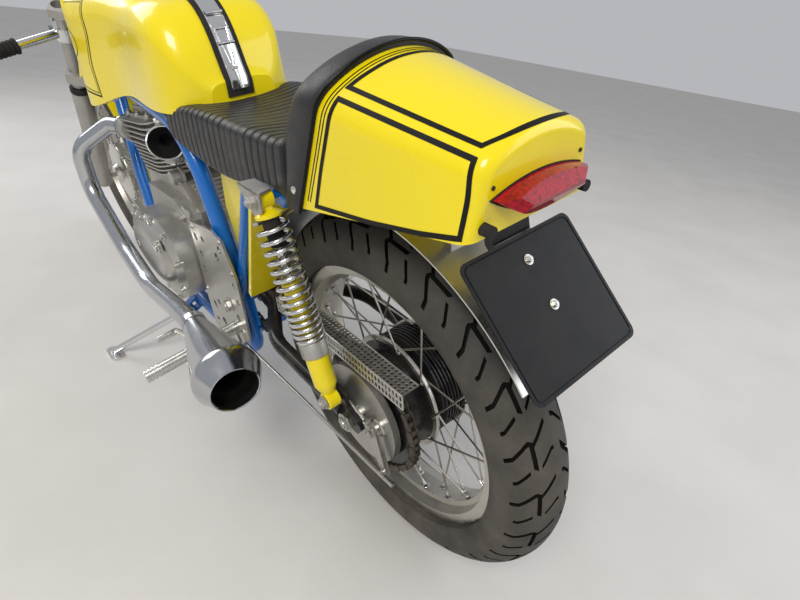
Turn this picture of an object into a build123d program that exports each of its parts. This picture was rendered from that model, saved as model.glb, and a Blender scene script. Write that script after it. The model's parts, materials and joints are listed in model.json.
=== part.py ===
from build123d import *
import os
from math import acos, atan2, cos, degrees, hypot, pi, radians, sin, sqrt, tan

# Cafe racer motorcycle, millimetres.
# It is drawn upright: X forward from the rear axle, Y to its left, Z up from the ground.
# Then it is leaned on its side stand and set with the middle of its box over the origin.

# Stance and wheels
NECK_REACH = 742.5
LEAN = 11.9
REAR_TYRE_RADIUS = 326.0
REAR_TYRE_CROWN = 55.0
REAR_TYRE_FOOT = 47.6
FRONT_TYRE_RADIUS = 322.0
FRONT_TYRE_CROWN = 46.0
FRONT_TYRE_FOOT = 32.6
RIM_SEAT_RADIUS = 229.0
RIM_FLANGE_HEIGHT = 13.5
RIM_WELL_DEPTH = 15.0
REAR_RIM_HALF_WIDTH = 36.0
FRONT_RIM_HALF_WIDTH = 31.0
RIM_WALL = 4.0
AXLE_RADIUS = 8.5
SPOKE_RADIUS = 1.7
SPOKE_PAIRS = 20
SPOKE_RIM_GAP = 1.2
SPOKE_OFFSET = 5.4
RUNNING_CLEARANCE = 0.05
SEAT_GAP = 0.3

# Steering
RAKE = 27.0
FORK_OFFSET = 55.0
FORK_SPREAD = 95.0
STEM_RADIUS = 15.0
HEAD_RADIUS = 27.0
HEAD_LOW = 660.0
HEAD_HIGH = 800.0
NECK_Z = 706.0
STANCHION_RADIUS = 17.0
SLIDER_RADIUS = 25.0
SLIDER_LENGTH = 345.0
LOW_YOKE = 30.0
HIGH_YOKE = 20.0

# Frame tubes
RAIL_Y = 95.0
RAIL_Z = 690.0
MAIN_TUBE_RADIUS = 16.0
STRUT_RADIUS = 11.0
BOTTOM_RAIL_Z = 208.0
PIVOT_X = 400.0
PIVOT_Z = 350.0

# Swingarm and shocks
ARM_Y = 108.0
ARM_RADIUS = 14.0
SHOCK_Y = 127.0
SHOCK_TOP_X, SHOCK_TOP_Z = 124.0, 682.0
SHOCK_LOW_X, SHOCK_LOW_Z = 23.0, 368.0
SPRING_RADIUS = 21.5
SPRING_WIRE = 3.6
SPRING_TURNS = 15

# Final drive on the left
CHAIN_Y = 70.0
CHAIN_HALF_WIDTH = 8.0
CHAIN_HALF_DEPTH = 6.5
CHAIN_LIFT = 1.0
REAR_SPROCKET_RADIUS = 106.0
GEARBOX_SPROCKET_RADIUS = 38.0
GEARBOX_SPROCKET_X, GEARBOX_SPROCKET_Z = 478.0, 352.0
BRAKE_PLATE_RADIUS = 90.0
BRAKE_PLATE_IN, BRAKE_PLATE_OUT = 79.0, 91.0
BRAKE_CAM = (-52.0, 337.0)
BRAKE_ARM_END = (-76.0, 262.0)
PEDAL_ARM = (372.0, 262.0)

# Engine
CASE_HALF_WIDTH = 105.0
CASE_TOP_Z = 520.0
COVER_OUT_Y = 182.0
TIMING_COVER_Y = 142.0
COVER_Z = 373.0
COVER_REAR_X, COVER_REAR_RADIUS = 633.0, 98.0
COVER_FRONT_X, COVER_FRONT_RADIUS = 752.0, 76.0
CYLINDER_X = 752.0
CYLINDER_TILT = 8.0
BARREL_FINS = 7
HEAD_FINS = 5
FIN_THICKNESS = 3.0
BARREL_PITCH = 9.5
HEAD_PITCH = 11.5
HEAD_HALF_WIDTH = 112.0
HEAD_LENGTH = 205.0
PORT_Y = 92.0
INTAKE_Y = 74.0
PORT_FACE = 108.0
PORT_HEIGHT = 26.0
CARB_MOUTH = (596.0, 99.0, 635.0)
BELLMOUTH_RADIUS = 35.0

# Exhaust
PIPE_RADIUS = 20.0
MEGAPHONE_RADIUS = 59.0
MEGAPHONE_OUTLET_RADIUS = 43.0

# Side stand
STAND_PIVOT = (690.0, 134.0, 188.0)
STAND_FOOT = (812.0, 322.0)
STAND_TUCKED = (-0.96, 0.25, 0.05)
STAND_LEG_RADIUS = 8.5
STAND_BOLT_RADIUS = 6.0
STAND_EYE_RADIUS = 14.0
STAND_EYE_HALF = 9.5
LUG_THICKNESS = 5.0

# Seat, tail and tank
SEAT_HALF_WIDTH = 114.0
SEAT_BASE_Z = 707.0
PLATE_WIDTH = 176.0
PLATE_HEIGHT = 163.0
PLATE_TILT = 45.6
PLATE_X, PLATE_Z = -267.0, 647.0
SEAT_BACK_LEAN = 20.0
SEAM_FOOT_X = 34.0
LAMP_BACK_X = -231.0
TAIL_EDGE = 14.0
TAIL_TUBE_X, TAIL_TUBE_Z = -120.0, 718.0
TAIL_TUBE_RADIUS = 9.0
BUNG_Y, BUNG_Z = 74.0, 750.0
BUNG_RADIUS = 6.5
BUNG_END_X = -241.0
GUARD_TUBE_X = 150.0
REAR_GUARD_RADIUS = 350.0
INNER_GUARD_RADIUS = 342.0

REAR_AXLE_Z = REAR_TYRE_RADIUS
lean_rise = (1 - cos(radians(LEAN))) / cos(radians(LEAN))
ground_drop = (REAR_TYRE_CROWN - FRONT_TYRE_CROWN) * lean_rise
FRONT_AXLE_Z = FRONT_TYRE_RADIUS - ground_drop
RIM_FLANGE_RADIUS = RIM_SEAT_RADIUS + RIM_FLANGE_HEIGHT
RIM_WELL_RADIUS = RIM_SEAT_RADIUS - RIM_WELL_DEPTH
NECK_X = PIVOT_X + NECK_REACH
fork_rise = NECK_Z - FRONT_AXLE_Z + FORK_OFFSET * sin(radians(RAKE))
WHEELBASE = NECK_X + FORK_OFFSET * cos(radians(RAKE)) + fork_rise * tan(radians(RAKE))
SIDES = (1, -1)

pieces = {}


def keep(name, *solids):
    """Store the solids of one named piece."""
    flat = []
    for item in solids:
        flat.extend(item.solids())
    pieces[name] = flat


def cylinder_y(x, z, y_low, y_high, radius):
    """A round bar along Y between two faces."""
    face = Plane(origin=(x, y_low, z), x_dir=(1, 0, 0), z_dir=(0, 1, 0)) * Circle(radius)
    return extrude(face, y_high - y_low)


def rod(start, end, radius):
    """A straight round bar between two points."""
    a, b = Vector(*start), Vector(*end)
    return extrude(Plane(origin=a, z_dir=(b - a)) * Circle(radius), (b - a).length)


def cone(start, end, radius_a, radius_b):
    """A straight round taper between two points."""
    a, b = Vector(*start), Vector(*end)
    axis = Plane(origin=a, z_dir=(b - a))
    return axis * Location((0, 0, (b - a).length / 2)) * Cone(radius_a, radius_b, (b - a).length)


def tube(points, radius, bends):
    """A round bar along straight runs joined by tangent arcs."""
    path = FilletPolyline(*points, radius=bends)
    return sweep(Plane(origin=path @ 0, z_dir=path % 0) * Circle(radius), path=path)


def plate_y(outline, y_low, y_high):
    """A flat plate with an outline in X and Z."""
    face = make_face(Polyline(*[(x, y_low, z) for x, z in outline], close=True))
    solid = extrude(face, y_high - y_low, dir=(0, 1, 0))
    return solid


def belt_face(rear, front, y):
    """The outline of a belt round two circles of (X, Z, radius), at one Y."""
    (ax, az, ar), (bx, bz, br) = rear, front
    base = atan2(bz - az, bx - ax)
    spread = acos((ar - br) / hypot(bx - ax, bz - az))

    def on(x, z, radius, angle):
        return Vector(x + radius * cos(angle), y, z + radius * sin(angle))

    a, b = on(ax, az, ar, base + spread), on(bx, bz, br, base + spread)
    c, d = on(bx, bz, br, base - spread), on(ax, az, ar, base - spread)
    edges = [Line(a, b), ThreePointArc(b, on(bx, bz, br, base), c), Line(c, d),
             ThreePointArc(d, on(ax, az, -ar, base), a)]
    return make_face(Wire(edges))


def box_between(low, high):
    """A box between two corners."""
    size = [h - l for l, h in zip(low, high)]
    middle = [(h + l) / 2 for l, h in zip(low, high)]
    return Location(middle) * Box(*size)


def ground_z(y):
    """The height at which the ground meets the upright machine's frame of reference."""
    return y * tan(radians(LEAN)) - REAR_TYRE_CROWN * lean_rise


def both_sides(solid):
    """A left-hand piece and its right-hand twin."""
    return [solid, mirror(solid, about=Plane.XZ)]


def turned_ring(profile, x, z):
    """A closed outline of (distance from axle, Y) points, turned about an axle."""
    face = make_face(Polyline(*[(x + r, y, z) for r, y in profile], close=True))
    return revolve(face, Axis((x, 0, z), (0, 1, 0)), 360)


# Wheels

def tyre(x, z, radius, crown, foot, rim_half_width):
    """A tyre with a round tread, its sidewalls down to the flanges and its beads in the rim."""
    flange = x + RIM_FLANGE_RADIUS + 1.0
    bead = x + RIM_SEAT_RADIUS + 1.0
    bead_y = rim_half_width - RIM_WALL - 1.0
    left, right = Vector(x + radius - crown, crown, z), Vector(x + radius - crown, -crown, z)
    foot_left, foot_right = Vector(flange, foot, z), Vector(flange, -foot, z)
    inward = Vector(-1, 0, 0)
    edges = [ThreePointArc(left, Vector(x + radius, 0, z), right), TangentArc(right, foot_right, tangent=inward),
             TangentArc(left, foot_left, tangent=inward)]
    inner = Polyline(foot_right, (flange, -bead_y, z), (bead, -bead_y, z), (bead, bead_y, z), (flange, bead_y, z),
                     foot_left)
    return revolve(make_face(Wire(edges + list(inner.edges()))), Axis((x, 0, z), (0, 1, 0)), 360)


def rim(x, z, half_width):
    """An alloy rim: two flanges, bead seats and a well."""
    well_y = half_width * 0.45
    outline = [
        (RIM_FLANGE_RADIUS, half_width), (RIM_FLANGE_RADIUS, half_width - RIM_WALL),
        (RIM_SEAT_RADIUS, half_width - RIM_WALL), (RIM_SEAT_RADIUS - 2, well_y),
        (RIM_WELL_RADIUS + RIM_WALL, well_y - 4), (RIM_WELL_RADIUS + RIM_WALL, -well_y + 4),
        (RIM_SEAT_RADIUS - 2, -well_y), (RIM_SEAT_RADIUS, -half_width + RIM_WALL),
        (RIM_FLANGE_RADIUS, -half_width + RIM_WALL), (RIM_FLANGE_RADIUS, -half_width),
        (RIM_SEAT_RADIUS - RIM_WALL, -half_width), (RIM_SEAT_RADIUS - RIM_WALL - 3, -well_y - 2),
        (RIM_WELL_RADIUS, -well_y), (RIM_WELL_RADIUS, well_y),
        (RIM_SEAT_RADIUS - RIM_WALL - 3, well_y + 2), (RIM_SEAT_RADIUS - RIM_WALL, half_width),
    ]
    return turned_ring(outline, x, z)


def spokes(x, z, flange_radius, flange_ys):
    """Crossed wire spokes from two hub flanges to the well of the rim."""
    # columns: flange side, place round the wheel in spoke steps, lean of the spoke in degrees
    lacing = ((0, 0.00, 28.0), (0, 0.50, -28.0), (1, 0.25, 28.0), (1, 0.75, -28.0))
    result = []
    for index in range(SPOKE_PAIRS // 2):
        for side, offset, lean in lacing:
            angle = 2 * pi * (index + offset) / (SPOKE_PAIRS // 2)
            inner = angle + radians(lean)
            out_shift = SPOKE_OFFSET if lean > 0 else -SPOKE_OFFSET
            start = (x + flange_radius * cos(inner), flange_ys[side] + out_shift, z + flange_radius * sin(inner))
            rim_y = 8.0 if side == 0 else -8.0
            rim_radius = RIM_WELL_RADIUS - SPOKE_RIM_GAP
            end = (x + rim_radius * cos(angle), rim_y, z + rim_radius * sin(angle))
            result.append(rod(start, end, SPOKE_RADIUS))
    return result


def build_rear_wheel():
    z = REAR_AXLE_Z
    bore = AXLE_RADIUS + RUNNING_CLEARANCE
    keep("rear_tyre", tyre(0, z, REAR_TYRE_RADIUS, REAR_TYRE_CROWN, REAR_TYRE_FOOT, REAR_RIM_HALF_WIDTH))
    keep("rear_rim", rim(0, z, REAR_RIM_HALF_WIDTH))
    # columns: distance from axle, Y
    outline = [(bore, -80), (30, -80), (34, -66), (72, -64), (72, -62), (99, -60), (99, -55), (92, -54),
               (92, -12), (80, -8), (80, 8), (104, 10), (104, 15), (80, 17), (80, 58), (50, 60), (50, 66),
               (REAR_SPROCKET_RADIUS, 66), (REAR_SPROCKET_RADIUS, 73), (40, 73), (36, 77), (bore, 77)]
    hub = turned_ring(outline, 0, z)
    for groove_y in (-50, -41, -32, -23):
        hub -= turned_ring([(84, groove_y - 2.5), (94, groove_y - 2.5), (94, groove_y + 2.5), (84, groove_y + 2.5)], 0, z)
    keep("rear_hub", hub)
    keep("rear_spokes", *spokes(0, z, 97.5, (12.5, -57.5)))


def build_front_wheel():
    x, z = WHEELBASE, FRONT_AXLE_Z
    bore = AXLE_RADIUS + RUNNING_CLEARANCE
    keep("front_tyre", tyre(x, z, FRONT_TYRE_RADIUS, FRONT_TYRE_CROWN, FRONT_TYRE_FOOT, FRONT_RIM_HALF_WIDTH))
    keep("front_rim", rim(x, z, FRONT_RIM_HALF_WIDTH))
    outline = [(bore, -50), (88, -50), (88, -46), (94, -44), (94, -12), (88, -8), (88, 8), (94, 12), (94, 36),
               (80, 40), (34, 44), (26, 56), (bore, 56)]
    hub = turned_ring(outline, x, z)
    for flange_y in (-30, 30):
        hub += turned_ring([(90, flange_y - 2.5), (100, flange_y - 2.5), (100, flange_y + 2.5), (90, flange_y + 2.5)], x, z)
    keep("front_hub", hub)
    keep("front_spokes", *spokes(x, z, 97.5, (30.0, -30.0)))
    plate = cylinder_y(x, z, -58, -51, 96)
    plate += cylinder_y(x, z, -FORK_SPREAD + SLIDER_RADIUS + SEAT_GAP, -57, 18)
    plate -= cylinder_y(x, z, -90, -40, AXLE_RADIUS + RUNNING_CLEARANCE)
    keep("front_brake_plate", plate)


def steering_point(height):
    """The point of the steering axis at a height."""
    foot_x = WHEELBASE - FORK_OFFSET * cos(radians(RAKE))
    foot_z = FRONT_AXLE_Z - FORK_OFFSET * sin(radians(RAKE))
    return (foot_x - (height - foot_z) * tan(radians(RAKE)), 0, height)


def fork_point(height, side, spread=FORK_SPREAD):
    """The point of a fork leg's axis ahead of the steering axis at a height."""
    x, _, z = steering_point(height)
    return (x + FORK_OFFSET * cos(radians(RAKE)), side * spread, z + FORK_OFFSET * sin(radians(RAKE)))


def stand_axis():
    """The side stand's pivot axis, square to the leg both down and tucked away."""
    foot_z = ground_z(STAND_FOOT[1])
    down = Vector(STAND_FOOT[0], STAND_FOOT[1], foot_z) - Vector(*STAND_PIVOT)
    return down.cross(Vector(*STAND_TUCKED)).normalized()


def strip(x_low, x_high, y_low, y_high, z_low, z_high):
    """A box whose limits may come in either order."""
    xs, ys, zs = sorted((x_low, x_high)), sorted((y_low, y_high)), sorted((z_low, z_high))
    return box_between((xs[0], ys[0], zs[0]), (xs[1], ys[1], zs[1]))


# Frame

def seat_rail(side, radius):
    """The tube that carries the seat and tail."""
    y = side * RAIL_Y
    return tube([(500, y, RAIL_Z + 1), (130, y, RAIL_Z - 2), (-150, side * 72, TAIL_TUBE_Z + 4)], radius, [300])


def build_frame():
    steer_up = Vector(-sin(radians(RAKE)), 0, cos(radians(RAKE)))
    head_low, head_high = steering_point(HEAD_LOW), steering_point(HEAD_HIGH)
    frame = rod(head_low, head_high, HEAD_RADIUS)
    for side in SIDES:
        y = side * RAIL_Y
        loop = [(NECK_X - 12, side * 20, NECK_Z + 32), (NECK_X - 132, side * 78, NECK_Z + 8),
                (PIVOT_X + 62, y, RAIL_Z), (PIVOT_X + 4, y, 470), (PIVOT_X - 28, y, BOTTOM_RAIL_Z + 22),
                (PIVOT_X + 70, y, BOTTOM_RAIL_Z), (890, y, BOTTOM_RAIL_Z), (NECK_X - 132, side * 66, 440),
                (NECK_X, side * 20, NECK_Z)]
        frame += tube(loop, MAIN_TUBE_RADIUS, [90, 125, 150, 45, 90, 70, 90])
        frame += seat_rail(side, STRUT_RADIUS)
        frame += rod((PIVOT_X - 12, side * (RAIL_Y + 2), 366), (224, side * RAIL_Y, RAIL_Z - 2), STRUT_RADIUS)
        pivot_plate = [(PIVOT_X - 38, 296), (PIVOT_X + 28, 296), (PIVOT_X + 46, 350), (PIVOT_X + 24, 410),
                       (PIVOT_X - 28, 410)]
        frame += plate_y(pivot_plate, min(side * 82, side * 89), max(side * 82, side * 89))
        shock_lug = [(92, RAIL_Z - 4), (108, 664), (140, 664), (176, RAIL_Z - 4)]
        frame += plate_y(shock_lug, min(side * 99, side * 106), max(side * 99, side * 106))
        frame += cylinder_y(SHOCK_TOP_X, SHOCK_TOP_Z, min(side * 99, side * 144), max(side * 99, side * 144), 6)
        frame += cylinder_y(PIVOT_X, PIVOT_Z, min(side * 70, side * 100), max(side * 70, side * 100), 10)
    for x, radius in ((PIVOT_X + 70, 12), (880, 12)):
        frame += cylinder_y(x, BOTTOM_RAIL_Z, -RAIL_Y, RAIL_Y, radius)
    frame += cylinder_y(GUARD_TUBE_X, RAIL_Z - 2, -RAIL_Y, RAIL_Y, 9)
    frame += cylinder_y(TAIL_TUBE_X, TAIL_TUBE_Z, -75, 75, TAIL_TUBE_RADIUS)
    frame += cylinder_y(PIVOT_X, PIVOT_Z, -90, 90, 10)
    axis = stand_axis()
    pivot = Vector(*STAND_PIVOT)
    reach = STAND_EYE_HALF + SEAT_GAP
    for end in SIDES:
        inner, outer = pivot + axis * (end * reach), pivot + axis * (end * (reach + LUG_THICKNESS))
        frame += rod(tuple(inner), tuple(outer), STAND_EYE_RADIUS)
        middle = (inner + outer) * 0.5
        inward = (Vector(0, -1, 0) - axis * Vector(0, -1, 0).dot(axis)).normalized()
        arm = Plane(origin=middle + inward * 16, x_dir=inward, z_dir=axis) * Box(32, 26, LUG_THICKNESS)
        frame += arm
    back = pivot + inward * 27
    frame += Plane(origin=back, x_dir=inward, z_dir=axis) * Box(10, 26, 2 * (reach + LUG_THICKNESS))
    frame += Plane(origin=pivot + inward * 36, x_dir=inward, z_dir=axis) * Box(12, 22, 12)
    frame += rod(tuple(pivot - axis * (reach + LUG_THICKNESS)), tuple(pivot + axis * (reach + LUG_THICKNESS)), STAND_BOLT_RADIUS)
    frame -= rod(tuple(Vector(*head_low) - steer_up), tuple(Vector(*head_high) + steer_up), STEM_RADIUS + RUNNING_CLEARANCE)
    keep("frame", frame)


def build_side_stand():
    axis = stand_axis()
    pivot = Vector(*STAND_PIVOT)
    foot = Vector(STAND_FOOT[0], STAND_FOOT[1], ground_z(STAND_FOOT[1]))
    up = Vector(0, -sin(radians(LEAN)), cos(radians(LEAN)))
    toe = foot + up * 12
    leg = rod(tuple(pivot + (toe - pivot).normalized() * 9), tuple(toe), STAND_LEG_RADIUS)
    leg += Plane(origin=foot, x_dir=(1, 0, 0), z_dir=up) * extrude(RectangleRounded(62, 34, 14), 6)
    leg += rod(tuple(foot + up * 3), tuple(toe), STAND_LEG_RADIUS)
    leg += rod(tuple(pivot - axis * STAND_EYE_HALF), tuple(pivot + axis * STAND_EYE_HALF), STAND_EYE_RADIUS)
    leg -= rod(tuple(pivot - axis * 20), tuple(pivot + axis * 20), STAND_BOLT_RADIUS + RUNNING_CLEARANCE)
    keep("side_stand", leg)


def build_swingarm():
    arm = cylinder_y(PIVOT_X, PIVOT_Z, -60, 60, 20)
    for side in SIDES:
        route = [(PIVOT_X - 8, side * 50, PIVOT_Z), (335, side * 56, PIVOT_Z - 1), (240, side * ARM_Y, PIVOT_Z - 6),
                 (20, side * ARM_Y, REAR_AXLE_Z + 6)]
        arm += tube(route, ARM_RADIUS, [60, 110])
        outline = [(46, REAR_AXLE_Z - 18), (46, REAR_AXLE_Z + 30), (-20, REAR_AXLE_Z + 18), (-32, REAR_AXLE_Z),
                   (-20, REAR_AXLE_Z - 18)]
        low, high = sorted((side * (ARM_Y - 4), side * (ARM_Y + 4)))
        arm += plate_y(outline, low, high)
        lug = [(0, REAR_AXLE_Z + 10), (10, SHOCK_LOW_Z + 12), (36, SHOCK_LOW_Z + 12), (52, REAR_AXLE_Z + 10)]
        arm += plate_y(lug, low, high)
        low, high = sorted((side * (ARM_Y - 4), side * 144))
        arm += cylinder_y(SHOCK_LOW_X, SHOCK_LOW_Z, low, high, 6)
    arm -= cylinder_y(PIVOT_X, PIVOT_Z, -92, 92, 10 + RUNNING_CLEARANCE)
    arm -= cylinder_y(0, REAR_AXLE_Z, -130, 130, AXLE_RADIUS + RUNNING_CLEARANCE)
    keep("swingarm", arm)
    axle = cylinder_y(0, REAR_AXLE_Z, -126, 126, AXLE_RADIUS)
    axle += cylinder_y(0, REAR_AXLE_Z, -ARM_Y + 4 + SEAT_GAP, -81, 14)
    for side in SIDES:
        low, high = sorted((side * (ARM_Y + 4 + SEAT_GAP), side * 121))
        nut = Plane(origin=(0, low, REAR_AXLE_Z), x_dir=(1, 0, 0), z_dir=(0, 1, 0)) * RegularPolygon(14, 6)
        axle += extrude(nut, high - low)
    keep("rear_axle", axle)


def build_shocks():
    top = Vector(SHOCK_TOP_X, 0, SHOCK_TOP_Z)
    low = Vector(SHOCK_LOW_X, 0, SHOCK_LOW_Z)
    up = (top - low).normalized()
    length = (top - low).length
    # columns: radius, distance above the lower eye
    body_outline = [(0, 13), (11, 13), (15, 22), (18.5, 30), (18.5, 82), (21.5, 83), (21.5, 108), (16, 108), (16, 205),
                    (6.5, 207), (6.5, length - 27), (20, length - 27), (20, length - 21), (11, length - 16),
                    (11, length - 13), (0, length - 13)]
    mid = SPRING_RADIUS
    start, end = 108 + SEAT_GAP, length - 27 - SEAT_GAP
    pitch = (end - start) / SPRING_TURNS
    base = low + Vector(0, SHOCK_Y, 0)
    along = Plane(origin=base, x_dir=(0, 1, 0), z_dir=up)
    outline = make_face(Polyline(*[(radius, 0, height) for radius, height in body_outline], close=True))
    body = along * revolve(outline, Axis.Z, 360)
    for height in (0, length):
        eye = base + up * height
        body += cylinder_y(eye.X, eye.Z, SHOCK_Y - 11, SHOCK_Y + 11, 15)
        body -= cylinder_y(eye.X, eye.Z, SHOCK_Y - 12, SHOCK_Y + 12, 6 + RUNNING_CLEARANCE)
    keep("shock_bodies", *both_sides(body))
    coil_outline = [(mid - 2, 0, start), (mid - 2, 0, end)]
    for turn in range(SPRING_TURNS, 0, -1):
        coil_outline.append((mid, 0, start + pitch * turn))
        coil_outline.append((mid + SPRING_WIRE, 0, start + pitch * (turn - 0.3)))
        coil_outline.append((mid + SPRING_WIRE, 0, start + pitch * (turn - 0.7)))
    coil_outline.append((mid, 0, start))
    spring = along * revolve(make_face(Polyline(*coil_outline, close=True)), Axis.Z, 360)
    keep("shock_springs", *both_sides(spring))


# Final drive and rear brake

def build_drive():
    rear_x, rear_z = 0.0, REAR_AXLE_Z
    front_x, front_z = GEARBOX_SPROCKET_X, GEARBOX_SPROCKET_Z
    rear_r = REAR_SPROCKET_RADIUS + CHAIN_LIFT + CHAIN_HALF_DEPTH
    front_r = GEARBOX_SPROCKET_RADIUS + CHAIN_LIFT + CHAIN_HALF_DEPTH

    def loop(extra):
        rounds = (rear_x, rear_z, rear_r + extra), (front_x, front_z, front_r + extra)
        return extrude(belt_face(*rounds, CHAIN_Y - CHAIN_HALF_WIDTH), 2 * CHAIN_HALF_WIDTH, dir=(0, 1, 0))

    keep("chain", loop(CHAIN_HALF_DEPTH) - loop(-CHAIN_HALF_DEPTH))

    guard_z = REAR_AXLE_Z + rear_r + CHAIN_HALF_DEPTH + 5
    fall = guard_z - 16
    guard = plate_y([(-115, guard_z), (94, guard_z), (236, fall), (236, fall + 2), (94, guard_z + 2),
                     (-115, guard_z + 2)], 60, 91)
    guard += plate_y([(-115, guard_z + 2), (94, guard_z + 2), (236, fall + 2), (236, fall - 28), (94, guard_z - 46),
                      (60, guard_z - 31), (-40, guard_z - 30), (-115, guard_z - 13)], 89, 91)
    hanger = [(72, guard_z - 29), (92, guard_z - 29), (112, 352), (94, 352)]
    guard += plate_y(hanger, 89, 91)
    guard += cylinder_y(103, 360, 89, ARM_Y - ARM_RADIUS + 4, 5)
    guard -= rod((20, ARM_Y, REAR_AXLE_Z + 6), (240, ARM_Y, PIVOT_Z - 6), ARM_RADIUS + SEAT_GAP)
    keep("chain_guard", guard)

    plate = cylinder_y(0, REAR_AXLE_Z, BRAKE_PLATE_IN, BRAKE_PLATE_OUT, BRAKE_PLATE_RADIUS)
    plate += cylinder_y(0, REAR_AXLE_Z, BRAKE_PLATE_OUT - 1, ARM_Y - 4 - SEAT_GAP, 16)
    plate -= cylinder_y(0, REAR_AXLE_Z, 60, 120, AXLE_RADIUS + RUNNING_CLEARANCE)
    cam, end = BRAKE_CAM, BRAKE_ARM_END
    plate += cylinder_y(cam[0], cam[1], BRAKE_PLATE_OUT - 1, 104, 8)
    arm = [(cam[0] - 9, cam[1] + 9), (cam[0] + 9, cam[1] + 9), (end[0] + 7, end[1] - 8), (end[0] - 7, end[1] - 8)]
    plate += plate_y(arm, 98, 104)
    keep("rear_brake_plate", plate)
    brake_rod = rod((end[0] - 26, 110, end[1] - 8), (PEDAL_ARM[0], 122, PEDAL_ARM[1]), 3.5)
    brake_rod += cylinder_y(end[0], end[1], 104 + SEAT_GAP, 115, 6)
    keep("brake_rod", brake_rod)


# Engine

def tilted(x, y, z):
    """A place on the cylinder, measured from its base and tilted forward with it."""
    angle = radians(CYLINDER_TILT)
    return (CYLINDER_X + x * cos(angle) + z * sin(angle), y, CASE_TOP_Z + z * cos(angle) - x * sin(angle))


def fin_slab(half_length, half_width, z_low, z_high, corner):
    """One flat slab across the cylinder, with rounded corners."""
    base = Plane(origin=tilted(0, 0, z_low), x_dir=Vector(*tilted(1, 0, 0)) - Vector(*tilted(0, 0, 0)),
                 z_dir=Vector(*tilted(0, 0, 1)) - Vector(*tilted(0, 0, 0)))
    return extrude(base * RectangleRounded(2 * half_length, 2 * half_width, corner), z_high - z_low)


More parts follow.
